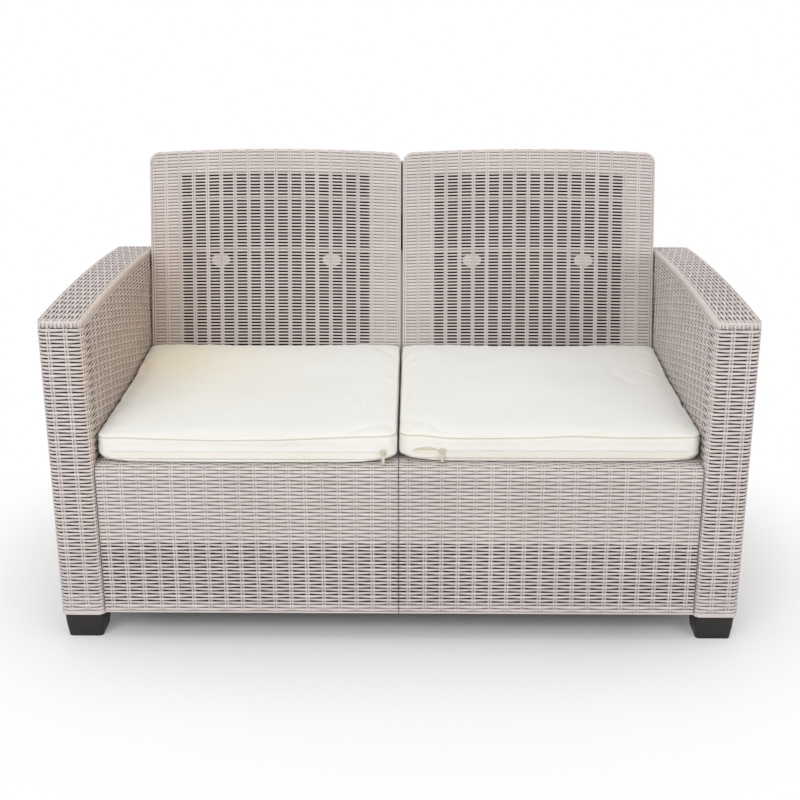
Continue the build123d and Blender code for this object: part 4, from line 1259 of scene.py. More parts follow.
@dataclass
class Backs(Moulding):
    """The two leaning backs: ribbed front face with slots, plain edge and a ribbed cover."""

    backing: Pair = (-5.2 * MM, -3.7 * MM)
    # painted shade of the backs' groove floors
    painted_floor_shade: float = 4.2
    lean: float = math.radians(13.5)
    depth: float = 22 * MM
    bow: float = 6 * MM
    top_arch: float = 9 * MM
    corner: float = 20 * MM
    cover: float = 3 * MM
    column: float = 29.4 * MM
    slotted_columns: int = 14
    closed_slots: tuple[int, ...] = (55, 39)
    top_slot: float = 432 * MM
    joined_to: float = 271 * MM
    # share of the back's height up to which the gap strip is near-black painted shade
    dark_share: float = 0.965
    gap_levels: Pair = (-15 * MM, -11 * MM)
    pad_level: float = 246 * MM
    pad_spread: float = 120 * MM
    pad_half: Pair = (20 * MM, 14 * MM)
    pad_top: float = -3.0 * MM
    pad_tone: float = 0.6
    edge_setback: float = 0.4 * MM

    def __post_init__(self) -> None:
        """Works out the back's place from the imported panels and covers."""
        low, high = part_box("back_cover_left")
        self.width, self.middle_x = high.x - low.x, (high.x + low.x) / 2
        self.height = (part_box("back_panel_left")[1].z - low.z) / math.cos(self.lean)
        base_y = high.y - self.height * math.sin(self.lean) - self.depth * math.cos(self.lean)
        place = (self.middle_x, base_y, low.z, self.width, self.height, self.lean, self.bow)
        self.front_face = LeaningBack(*place, self.top_arch, self.corner)
        self.rear_face = LeaningBack(*place, self.top_arch, self.corner, self.depth, True)
        self.side = self.width / 2 - self.slotted_columns / 2 * self.column

    def ribbed(self, **sizes: float) -> Mesher:
        """Draws straight rows held by continuous double ribs."""
        ribs = {"bar_width": 3.7 * MM, "bar_depth": 3.7 * MM, "bar_gap": 4.6 * MM, "bar_level": -1.5 * MM}
        straight = {"wave": 0.0, "swell": 0.0, "painted_depth_shade": 0.0, "steps_per_stake": 2, "bars_per_row": 0.35}
        rows = {"strand_width": 6.3 * MM, "open_width": 4.1 * MM}
        rows |= {"web_width": 8.4 * MM, "web_level": -3.6 * MM}
        columns = {"stake_pitch": self.column, "first_stake": self.side % self.column}
        return self.woven(Weave(self.width, self.height, **(ribs | straight | rows | columns | sizes)))

    def front(self) -> Mesher:
        """Draws the front of the left back: the face, its backing, its edge and its two pads."""
        side, width, height, tone = self.side, self.width, self.height, self.painted_floor_shade
        drawn = self.ribbed(open_to=self.top_slot, open_start=side - MM, open_end=width - side + MM)
        back, front = self.backing
        # floors of the closed sides, the top and the closed slots, darkened by painted shade
        for low, high in ((0, side), (width - side, width)):
            drawn.block((low, 0, back), (high, height, front), (8, 60), tone=tone)
        drawn.block((side, self.top_slot, back), (width - side, height, front), (14, 8), tone=tone)
        for number in self.closed_slots:
            low, high = [(number + part) * even(height) for part in (-0.42, 0.42)]
            drawn.block((side, low, back), (width - side, high, front), (14, 1), tone=tone)
        # near-black liner behind the open slots: painted shade
        liner = -self.liner_depth
        drawn.block((side, 0, liner - MM), (width - side, self.top_slot, liner), (14, 40), finish=1)
        # painted shade in the gap between the two backs: resin with half the floors' painted shade up to
        # where they join, and the near-black liner above that
        start, end = width - 3 * MM, -self.middle_x - 0.15 * MM + width / 2
        joined, dark, (back, front) = self.joined_to, self.dark_share * height, self.gap_levels
        drawn.block((start, 0, back), (end, joined, front), (1, 12), tone=tone / 2)
        drawn.block((start, joined, back), (end, dark, front), (1, 20), finish=1)
        return drawn.take(self.pads()).place(self.front_face).take(self.edge())

    def pads(self) -> Mesher:
        """Draws the two oval pads that fill the slots between the strands."""
        pads = Mesher()
        turns = np.linspace(0, 2 * math.pi, 32, endpoint=False)
        for way in (-1, 1):
            rings = []
            for share, rise in ((1.0, -2.0), (1.0, -1.0), (0.95, -0.3), (0.8, 0.0), (0.4, 0.2)):
                x = self.width / 2 + way * self.pad_spread + self.pad_half[0] * share * np.cos(turns)
                y = self.pad_level + self.pad_half[1] * share * np.sin(turns)
                rings.append(np.column_stack([x, y, np.full(len(turns), self.pad_top + rise * MM)]))
            pads.net(np.array(rings), wraps=(0, 1), tone=self.pad_tone)
        return pads

    def edge(self) -> Mesher:
        """Draws the plain edge that runs up one side, over the arched top and down the other."""
        face, corner, inset = self.front_face, self.corner, self.edge_setback
        half, side_top = self.width / 2 - inset, self.height - self.top_arch
        turn = np.linspace(0, math.pi / 2, 8)[1:]
        flat = np.linspace(corner - half, 0, 12)[1:]
        rounded = corner * (1 - np.cos(turn)) - half
        risen = corner * np.sin(turn) + self.top_arch * (1 - (rounded / half) ** 2) * np.sin(turn)
        arched = self.height - inset - self.top_arch * (flat / half) ** 2
        across = np.concatenate([np.full(12, -half), rounded, flat])
        levels = np.concatenate([np.linspace(0, side_top - corner, 12), side_top - corner + risen, arched])
        across, levels = np.append(across, -across[-2::-1]), np.append(levels, levels[-2::-1])
        inner = (across * (1 - 2.6 * MM / half), levels - 3.0 * MM * (levels > side_top - corner))
        bowed = face.bowed(across) + self.backing[0] + self.bow
        rear = np.full_like(across, self.depth - self.cover - 0.3 * MM)
        loops = [(across, bowed, levels), (across, rear, levels)]
        loops += [(inner[0], rear, inner[1]), (inner[0], bowed, inner[1])]
        edge = Mesher()
        edge.net(np.array([face.lean_over(*loop) for loop in loops]), wraps=(1, 0), smooth=False)
        return edge

    def rear(self) -> Mesher:
        """Draws the left back's rear cover, closed all over."""
        drawn = self.ribbed(level=-1.7 * MM, strand_depth=2.2 * MM, bar_level=-1.2 * MM, bar_depth=2.2 * MM)
        drawn.block((0, 0, -self.cover), (self.width, self.height, -1.9 * MM), (18, 60))
        return drawn.place(self.rear_face)

    def build(self) -> None:
        """Builds both backs."""
        # painted warm light on the left back beside the arm
        beside_arm = WarmLightPatch((120 * MM, 300 * MM, 210 * MM), 0.5)
        self.both_sides(self.front(), "back_weave", "back_panel", warm_patch=beside_arm)
        self.both_sides(self.rear(), "back_cover_weave", "back_cover")


@dataclass(frozen=True)
class Fold:
    """A soft fold in the top of a cover, along places across from the middle of the seat and deep."""

    places: tuple[Pair, ...]
    depth: float = 3.4 * MM
    width: float = 5.5 * MM

    def sink(self, plan: Array) -> Array:
        """How far each place sinks, or rises beside the fold.

        Args:
            plan: Places across and deep, one row each.

        Returns:
            Depths, below zero where the cover rises.
        """
        line = np.array(self.places) * MM
        away, share = np.full(len(plan), np.inf), np.zeros(len(plan))
        for i, (start, end) in enumerate(zip(line[:-1], line[1:])):
            run = end - start
            near = np.clip((plan - start) @ run / (run @ run), 0, 1)
            gap = np.linalg.norm(plan - start - near[:, None] * run, axis=1)
            share = np.where(gap < away, (i + near) / (len(line) - 1), share)
            away = np.minimum(gap, away)
        taper = np.sin(math.pi * (0.1 + 0.8 * share))
        ridge = np.exp(-(((away - 1.7 * self.width) / self.width) ** 2))
        return self.depth * taper * (np.exp(-((away / self.width) ** 2)) - 0.45 * ridge)


class Stuffing:
    """Cloth under air pressure, run on a remeshed copy of a cover, to find how far the filling moves it."""

    VOXEL = 5.6 * MM
    PRESSURE = 4.0
    FRAMES = 20
    SLACK = 0.025

    def __init__(self, points: Array, faces: Array, held: Callable[[Array], Array]) -> None:
        """Remeshes the cover and blows it up.

        Args:
            points: The cover's places.
            faces: Its faces.
            held: Gives for places how firmly the seams hold them, from 0 to 1.
        """
        mesh = bpy.data.meshes.new("cover_copy")
        mesh.from_pydata(points.tolist(), [], faces.tolist())
        source = linked("cover_copy", mesh)
        remesh = source.modifiers.new("even", "REMESH")
        remesh.mode, remesh.voxel_size = "VOXEL", self.VOXEL
        bag = linked("bag", baked(source))
        bpy.data.objects.remove(source)
        self.rest = places_of(bag.data)
        weights = held(self.rest)
        group = bag.vertex_groups.new(name="sewn")
        for i in np.flatnonzero(weights > 0.01):
            group.add([int(i)], float(weights[i]), "REPLACE")
        cloth = bag.modifiers.new("filling", "CLOTH")
        made = cloth.settings
        made.quality, made.mass = 5, 0.3
        made.use_pressure, made.uniform_pressure_force = True, self.PRESSURE
        made.effector_weights.gravity = 0.0
        made.shrink_min = -self.SLACK
        made.vertex_group_mass = "sewn"
        cloth.collision_settings.use_collision = False
        cloth.point_cache.frame_start, cloth.point_cache.frame_end = 1, self.FRAMES
        scene = bpy.context.scene
        for number in range(1, self.FRAMES + 1):
            scene.frame_set(number)
        blown = bag.evaluated_get(bpy.context.evaluated_depsgraph_get())
        self.shift = places_of(blown.data) - self.rest
        bag.data.calc_loop_triangles()
        self.triangles = np.array([t.vertices[:] for t in bag.data.loop_triangles])
        self.tree = BVHTree.FromPolygons(self.rest.tolist(), self.triangles.tolist())
        bag.modifiers.remove(cloth)
        bpy.data.objects.remove(bag)
        scene.frame_set(1)

    def at(self, points: Array) -> Array:
        """Gives how far the cloth moved at places on the cover.

        Args:
            points: Places on the cover.

        Returns:
            The moves, one row each.
        """
        moved = np.zeros_like(points)
        for i, point in enumerate(points):
            spot, _, number, _ = self.tree.find_nearest(point)
            corners = self.triangles[number]
            a, b, c = self.rest[corners]
            ab, ac, ap = b - a, c - a, np.array(spot) - a
            d00, d01, d11, d20, d21 = ab @ ab, ab @ ac, ac @ ac, ap @ ab, ap @ ac
            scale = max(d00 * d11 - d01 * d01, 1e-18)
            v, w = (d11 * d20 - d01 * d21) / scale, (d00 * d21 - d01 * d20) / scale
            moved[i] = (1 - v - w, v, w) @ self.shift[corners]
        return moved


@dataclass
class SeatCushion:
    """A boxed seat cushion: canvas over foam, sewn round its top and just above its base.

    It is drawn in the right-hand half of the seat, and the left one is turned over.
    """

    side: Side
    rises: tuple[Pair, ...]
    folds: tuple[Fold, ...]
    belly: float
    lift: float
    gape: float = 0.0
    cells: int = 60
    rear_height: float = 58 * MM
    front_height: float = 44 * MM
    lean: float = math.radians(13.5)
    zip_level: float = 22 * MM
    gape_from: float = 20 * MM
    gape_to: float = 70 * MM
    pull_in: float = 4.5 * MM
    rear_pull: float = 3 * MM
    base_corner: float = 34 * MM
    top_corner: float = 18 * MM
    outer_ease: float = 5.6 * MM
    inner_ease: float = 0.6 * MM
    slack: float = 0.8 * MM
    seam_inset: float = 3.2
    welt: float = 0.85 * MM
    # where and how strongly warm light is painted on the cushion's top
    warm_at: Pair = (495 * MM, 95 * MM)
    warm_reach: Pair = (185 * MM, 190 * MM)
    warm_most: float = 0.0
    crown: float = 2.2 * MM
    top_cap: float = 6 * MM
    side_cap: float = 2.2 * MM

    # share of the boxing's height, millimetres added to it and millimetres inside the outline, for each row
    ROWS = (
        (0, 0.0, 10.0), (0, 0.9, 4.6), (0, 3.0, 1.2), (0, 5.4, 0.9), (0, 7.0, 3.2), (0, 8.6, 1.0),
        (0, 11.0, 0.4), (0, 14.0, 0.2), (0, 17.0, 0.2), (0, 19.6, 0.2), (0, 22.0, 0.2), (0, 24.4, 0.2),
        (0, 27.0, 0.1), (0.25, 27.0, 0.0), (0.5, 27.0, 0.0), (0.75, 27.0, 0.1), (1, -1.7, 0.8),
        (1, 0.0, 3.2), (1, 1.5, 0.6), (1, 3.4, 0.9), (1, 5.0, 3.8), (1, 5.8, 8.0), (1, 6.3, 14.0),
    )

    def __post_init__(self) -> None:
        """Reads the cushion's place from the construction."""
        low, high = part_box(f"cushion_{self.side.value}")
        inner, outer = sorted((abs(low[0]), abs(high[0])))
        self.inner, self.outer = inner - self.inner_ease, outer + self.outer_ease
        self.front, self.rear_top, self.base = low[1], high[1], low[2]
        self.rear = self.rear_top - (self.rear_height - 3 * MM) * math.tan(self.lean)

    def boxing(self, plan: Array) -> Array:
        """Height of the top seam over the base at places across and deep.

        Args:
            plan: Places whose first two numbers say how far across and deep.

        Returns:
            The heights.
        """
        known = np.array(self.rises) * MM
        fine = np.linspace(-60 * MM, 600 * MM, 331)
        spread = np.exp(-((np.arange(-12, 13) / 6) ** 2))
        smooth = np.convolve(np.interp(fine, known[:, 0], known[:, 1]), spread / spread.sum(), "same")
        front = np.interp(plan[:, 0] - self.inner, fine[12:-12], smooth[12:-12])
        depth, usual = plan[:, 1] - self.front, self.front_height
        plain = usual + (front - usual) * np.exp(-np.maximum(depth, 0) / (130 * MM))
        share = np.clip(depth / (self.rear_top - self.front), 0, 1)
        return plain * (1 - share) + self.rear_height * share

    def spacing(self) -> Array:
        """Shares along a side at which its columns stand, closer near its corners."""
        close = np.array([0, 4, 8, 12.5, 18, 25]) / 531
        middle = np.linspace(close[-1], 1 - close[-1], self.cells - 9)
        return np.concatenate([close, middle[1:-1], (1 - close)[::-1]])

    def outline(self, level: float, inset: float, corner: float) -> Array:
        """Plan of one row, a rounded rectangle whose sides pull in.

        Args:
            level: Height of the row over the base, at the rear.
            inset: How far the row lies inside.
            corner: Radius of its corners.

        Returns:
            Places across and deep, round from the inner front corner.
        """
        depth = self.rear + level * math.tan(self.lean) - self.front
        half = np.array((self.outer - self.inner, depth)) / 2 - inset
        middle = np.array(((self.outer + self.inner) / 2, self.front + depth / 2))
        shares, bend, sides = self.spacing()[:-1], corner * math.pi / 4, []
        for turn in range(4):
            along, out = half if turn % 2 == 0 else half[::-1]
            straight = 2 * (along - corner)
            run = shares * (straight + 2 * bend)
            first, last = run < bend, run > bend + straight
            angle = np.where(first, run / corner - math.pi / 4, 0)
            angle = np.where(last, (run - bend - straight) / corner, angle)
            x = np.where(first, corner - along, np.where(last, along - corner, run - bend + corner - along))
            x = x + np.where(first | last, corner * np.sin(angle), 0)
            y = np.where(first | last, -(out - corner) - corner * np.cos(angle), -out)
            y = y + self._bow(turn, level) * np.sin(math.pi * shares) ** 1.3
            cosine, sine = round(math.cos(turn * math.pi / 2)), round(math.sin(turn * math.pi / 2))
            sides.append(np.column_stack([x * cosine - y * sine, x * sine + y * cosine]))
        return np.concatenate(sides) + middle

    def _bow(self, turn: int, level: float) -> float:
        """How far the middle of a side lies inwards at a height over the base; a belly lies outwards.

        Args:
            turn: Number of the side, counted from the front one.
            level: Height over the base.

        Returns:
            The distance.
        """
        waist = 0.5 + 0.5 * math.sin(math.pi * min(max(level / self.rear_height, 0), 1))
        low = math.exp(-((level / (6 * MM)) ** 2))
        high = 1 / (1 + math.exp(-(level - 46 * MM) / (4 * MM)))
        bulge = -self.belly * (low + 1.4 * high)
        return (bulge, self.pull_in * waist, self.rear_pull * waist, 0.6 * MM)[turn]

    def _lifted(self, points: Array) -> Array:
        """Raises the lower front corners off the seat deck.

        Args:
            points: Places of the sewn cover.

        Returns:
            The same places, moved.
        """
        for across, share in ((self.inner, 1.0), (self.outer, 0.6)):
            away = np.hypot(points[:, 0] - across, points[:, 1] - self.front)
            low = np.clip(1 - (points[:, 2] - self.base) / (17 * MM), 0, 1)
            points[:, 2] += self.lift * share * np.exp(-((away / (42 * MM)) ** 2)) * low
        return points

    def form(self) -> tuple[Array, Array]:
        """Draws the sewn cover.

        Returns:
            Places, those of the boxing's rows first, and the corners of each face.
        """
        rows = []
        for share, extra, inset in self.ROWS:
            extra = (extra if share in (0, 1) else (1 - share) * extra) * MM
            level = share * self.rear_height + extra
            corner = self.base_corner + (self.top_corner - self.base_corner) * min(level / (14 * MM), 1)
            plan = self.outline(level, inset * MM, corner - min(inset, 6) * MM)
            rows.append(np.column_stack([plan, self.base + (share * self.boxing(plan) + extra)]))
        ring = len(rows[0])
        count = ring * len(rows)
        numbers = np.arange(count).reshape(-1, ring)
        sides = quads(np.pad(numbers, [(0, 0), (0, 1)], mode="wrap"))
        below, plan = self._panel(rows[0], 0, count)
        bottom = np.column_stack([plan, np.full(len(plan), self.base)])
        above, plan = self._panel(rows[-1], count - ring, count + len(plan))
        gain = self.crown * (1 - np.exp(-np.maximum(self._inside(plan) - 14 * MM, 0) / (70 * MM)))
        top = np.column_stack([plan, self.base + self.boxing(plan) + 6.3 * MM + gain])
        points = np.concatenate([*rows, bottom, top])
        return self._lifted(points), np.concatenate([sides, quads(below)[:, ::-1], quads(above)])

    def _panel(self, rim: Array, first: int, count: int) -> tuple[Array, Array]:
        """Fills a panel inside its rim.

        Args:
            rim: The rim's places.
            first: Number of the rim's first place.
            count: Number of the first new place.

        Returns:
            Numbers of the places on the panel's grid, and the plan of the new ones.
        """
        n, flat = self.cells, rim[:, :2]
        numbers, steps = np.zeros((n + 1, n + 1), int), np.arange(n)
        numbers[0, :n], numbers[:n, n] = steps, n + steps
        numbers[n, n - steps], numbers[n - steps, 0] = 2 * n + steps, 3 * n + steps
        low, high = flat[numbers[0]], flat[numbers[n]]
        left, right = flat[numbers[:, 0]], flat[numbers[:, n]]
        s, t = self.spacing()[None, :, None], self.spacing()[:, None, None]
        corners = (1 - s) * (1 - t) * low[0] + s * (1 - t) * low[-1]
        corners = corners + (1 - s) * t * high[0] + s * t * high[-1]
        plan = (1 - t) * low[None] + t * high[None] + (1 - s) * left[:, None] + s * right[:, None] - corners
        numbers += first
        numbers[1:n, 1:n] = count + np.arange((n - 1) ** 2).reshape(n - 1, n - 1)
        return numbers, plan[1:n, 1:n].reshape(-1, 2)

    def _inside(self, plan: Array) -> Array:
        """How far inside the cushion's edge places lie."""
        x, y = plan[:, 0], plan[:, 1]
        return np.min([x - self.inner, self.outer - x, y - self.front, self.rear_top - y], axis=0)

    def held(self, points: Array) -> Array:
        """How firmly seams and the zip hold places of the cover, from 0 to 1.

        Args:
            points: Places on the cover.

        Returns:
            One share for each place.
        """
        height = points[:, 2] - self.base
        seam = np.minimum(np.abs(height - 7 * MM), np.abs(height - self.boxing(points)))
        sewn = np.where(self._inside(points) < 5 * MM, np.clip(1.4 - seam / (4 * MM), 0, 1), 0)
        zipped = (points[:, 1] < self.front + 6 * MM) & (height > 9 * MM) & (height < 30 * MM)
        return np.maximum(sewn, zipped | (height < 2 * MM))

    def parting(self, along: Array) -> Array:
        """Half height of the open zip at distances from the cushion's inner edge."""
        share = np.clip((along - self.gape_from) / (self.gape_to - self.gape_from), 0, 1)
        return self.gape * np.sin(math.pi * share**1.3) ** 0.8

    def filled(self, points: Array, faces: Array) -> Array:
        """Moves the sewn cover as its filling does, no further than the foam lets it.

        Args:
            points: Places of the sewn cover.
            faces: Corners of its faces.

        Returns:
            Places of the filled cover.
        """
        moved = Stuffing(points, faces, self.held).at(points)
        on_top = points[:, 2] > self.base + self.boxing(points) + 3 * MM
        cap = np.where(on_top, self.top_cap, self.side_cap)
        size = np.maximum(np.linalg.norm(moved, axis=1), 1e-9)
        return points + moved * (cap * np.tanh(size / cap) / size)[:, None]

    def settled(self, points: Array) -> Array:
        """Presses the folds and the open zip in, and keeps the cover off what stands round it.

        Args:
            points: Places of the filled cover.

        Returns:
            Places of the finished cover.
        """
        height = points[:, 2] - self.base
        top = height > self.boxing(points) + 2 * MM
        near = np.clip(self._inside(points) / (12 * MM), 0, 1)
        for fold in self.folds:
            points[:, 2] -= np.where(top, fold.sink(points[:, :2]) * near, 0)
        x, y = points[:, 0], points[:, 1]
        zipped = (height > 8 * MM) & (height < 30 * MM) & (y < self.front + 8 * MM)
        straight = (x > self.inner + 24 * MM) & (x < self.outer - 24 * MM)
        y = np.where(zipped & straight, self.front + 0.25 * MM, y)
        if self.gape:
            half = self.parting(x - self.inner)
            share = np.clip(1 - np.abs(height - self.zip_level - 1 * MM) / np.maximum(half, 1e-6), 0, 1)
            y += np.where(zipped & (half > 0.2 * MM), 4.5 * MM * np.sin(share * math.pi / 2), 0)
        limit = self.rear + (points[:, 2] - self.base) * math.tan(self.lean) + self.slack
        y = np.minimum(np.maximum(y, self.front - 8 * MM), limit)
        x = np.clip(x, self.inner - self.slack, self.outer + self.slack)
        return np.column_stack([x, y, np.maximum(points[:, 2], self.base)])

    def warm_light_and_edge_tint(self, points: Array) -> Array:
        """How warm the cloth is coloured at places: a patch of painted warm light on its top, and a slight
        warm tint round its sides.
        """
        away = (points[:, :2] - np.array(self.warm_at)) / np.array(self.warm_reach)
        patch = self.warm_most * np.exp(-(away**2).sum(axis=1))
        return patch + np.where(self._inside(points) < 6 * MM, 0.1, 0.0)

    def seams(self, points: Array, finishes: Finishes) -> None:
        """Lays the thread of both seams in their grooves, along the sewn rows of the cover.

        Args:
            points: Places of the finished cover, whose first ones are those of the rows.
            finishes: The materials.
        """
        ring, up, drawn = 4 * self.cells, np.array((0, 0, 1)), Mesher()
        for row, (_, _, inset) in enumerate(self.ROWS):
            if inset != self.seam_inset:
                continue
            path = points[row * ring : (row + 1) * ring]
            run = np.roll(path, -1, axis=0) - np.roll(path, 1, axis=0)
            out = np.column_stack([run[:, 1], -run[:, 0], np.zeros(ring)])
            out /= np.linalg.norm(out, axis=1)[:, None]
            middle, turns = path + out * 0.5 * MM, np.linspace(0, 2 * math.pi, 6, endpoint=False)
            drawn.net(np.array([middle + self.welt * (math.cos(a) * out + math.sin(a) * up) for a in turns]))
        made = drawn.make(f"cushion_seams_{self.side.value}", [finishes.thread], self.side is Side.LEFT)
        piece(made, f"cushion_{self.side.value}", "cushion_cover")

    def build(self, finishes: Finishes) -> None:
        """Sews, fills and settles the cushion.

        Args:
            finishes: The materials.
        """
        points, faces = self.form()
        cover = Mesher()
        cover.add(self.filled(points, faces), np.full(len(faces), 4), faces.ravel(), smooth=True)
        rough = cover.make("cover", [finishes.cotton])
        finer = rough.modifiers.new("finer", "SUBSURF")
        finer.levels = finer.render_levels = 1
        mesh = baked(rough)
        mesh.name = f"seat_cushion_{self.side.value}"
        rough.modifiers.remove(finer)
        bpy.data.objects.remove(rough)
        places = self.settled(places_of(mesh))
        store(mesh, "warm", self.warm_light_and_edge_tint(places))
        self.seams(places, finishes)
        if self.side is Side.LEFT:
            places = places * (-1, 1, 1)
            mesh.flip_normals()
        mesh.vertices.foreach_set("co", places.astype(np.float32).ravel())
        mesh.update()
        node = f"cushion_{self.side.value}"
        cushion = piece(linked(mesh.name, mesh), node, "cushion_cover", node)


@dataclass
class CushionZip:
    """The zip in a cushion's front: two woven tapes with a coil each, under a flap of the cover."""

    cushion: SeatCushion
    wrap: float = 60 * MM
    first: float = 20 * MM
    last: float = 517 * MM
    off_cover: float = 0.2 * MM
    off_middle: float = 0.2 * MM
    tape_low: float = -13.5 * MM
    tape_high: float = 7 * MM
    tape_proud: float = 0.45 * MM
    coil_pitch: float = 2.3 * MM
    coil_height: float = 2.1 * MM
    coil_thread: float = 1.3 * MM
    flap_low: float = -0.4 * MM
    flap_high: float = 11.5 * MM
    flap_proud: float = 1.0 * MM
    flap_edge: float = 0.25 * MM
    steps: int = 170

    def __post_init__(self) -> None:
        """Works out the path round the cushion's front and the zip's ends along it."""
        seat, off = self.cushion, self.off_cover
        radius = seat.top_corner - off
        inner, outer, front = seat.inner + off, seat.outer - off, seat.front + 0.25 * MM
        corners = [(inner, front + self.wrap), (inner, front), (outer, front), (outer, front + self.wrap)]
        self.surface = StandingWall(RoundedPath(corners, [radius, radius]), seat.base + seat.zip_level)
        self.begin = self.wrap - radius + radius * math.pi / 2 - radius - inner
        self.start, self.end = self.begin + self.first, self.begin + self.last

    def parted(self, drawn: Mesher, upper: bool) -> Mesher:
        """Tucks the ends into the cover and bends one side of the chain away where the zip is open.

        Args:
            drawn: What was drawn flat.
            upper: Whether it lies above the chain.

        Returns:
            The same mesher, its places moved.
        """
        seat = self.cushion
        for flat in drawn.points:
            free = np.minimum(flat[:, 0] - self.start + 8 * MM, self.end + 12 * MM - flat[:, 0]) / (18 * MM)
            free = np.clip(free, 0, 1)
            tucked = free * free * (3 - 2 * free)
            flat[:, 2] -= (1 - tucked) * 1.4 * MM
            flat[:, 1] = np.where(flat[:, 1] < 0, flat[:, 1] * (0.5 + 0.5 * tucked), flat[:, 1])
            half = seat.parting(flat[:, 0] - self.begin - seat.inner)
            near = np.clip(1 - np.abs(flat[:, 1]) / (14 * MM), 0, 1)
            flat[:, 1] += half * near * (1.15 if upper else -0.75)
        return drawn

    def tape(self, tree: CoilTree, finish: Material) -> Mesher:
        """Draws the two tapes with their coils.

        Args:
            tree: The coil's tree.
            finish: The coil's material.

        Returns:
            The zip, and the lining behind its open stretch.
        """
        whole, seat, off = Mesher(), self.cushion, self.off_middle
        values = {"Length": self.end - self.start, "Pitch": self.coil_pitch, "Loop Height": self.coil_height}
        values |= {"Loop Thread": self.coil_thread, "Finish": finish}
        for way, low, high in ((-1, self.tape_low, -off), (1, off, self.tape_high)):
            half = Mesher()
            begin, end = self.start - 5 * MM, self.end + 12 * MM
            half.block((begin, low, -0.3 * MM), (end, high, self.tape_proud), (self.steps, 3))
            coil = tree.run(values | {"Slant": 0.25 * way})
            coil.shift(self.start, way * self.coil_height * 0.45, self.tape_proud - 0.35 * MM)
            coil.finishes[-1][:] = 1
            whole.take(self.parted(half.take(coil), way > 0))
        if seat.gape:
            start, end = [self.begin + (seat.inner + along) for along in (seat.gape_from, seat.gape_to)]
            low, high = (start + 3 * MM, -3 * MM, -4.4 * MM), (end - 3 * MM, 5.5 * MM, -3.4 * MM)
            whole.block(low, high, (10, 2), finish=2)
        return whole.place(self.surface)

    def flap(self) -> Mesher:
        """Draws the flap, whose lower edge waves a little over the chain."""
        drawn, low = Mesher(), (self.start - 9 * MM, self.flap_low, -0.2 * MM)
        drawn.block(low, (self.end + 16 * MM, self.flap_high, self.flap_proud), (self.steps, 8))
        drawn.smooth[-1][:] = True
        flat = drawn.points[-1]
        rise = (flat[:, 1] - self.flap_low) / (self.flap_high - self.flap_low)
        body = self.flap_edge + (self.flap_proud - self.flap_edge) * np.cos(rise * math.pi / 2)
        flat[:, 2] = np.where(flat[:, 2] > 0, body * np.where(rise < 0.02, 0.55, 1.0), flat[:, 2])
        wave = 0.7 * np.sin(flat[:, 0] * 61 + 0.6) + 0.5 * np.sin(flat[:, 0] * 143 + 2.0)
        size = 0.32 if self.cushion.side is Side.LEFT else 0.8
        flat[:, 1] += wave * size * MM * (1 - rise)
        return self.parted(drawn, True).place(self.surface)

    def build(self, tree: CoilTree, finishes: Finishes) -> None:
        """Makes the zip's tapes and flap, which ride on the cushion.

        Args:
            tree: The coil's tree.
            finishes: The materials.
        """
        name, turned = self.cushion.side.value, self.cushion.side is Side.LEFT
        lined = [finishes.tape, finishes.coil, finishes.lining]
        tape = self.tape(tree, finishes.coil).make(f"zip_tapes_{name}", lined, turned)
        piece(tape, f"cushion_{name}", "zip_tape", f"zip_tape_{name}")
        flap = self.flap().make(f"zip_flap_{name}", [finishes.cotton], turned)
        piece(flap, f"cushion_{name}", "cushion_cover")


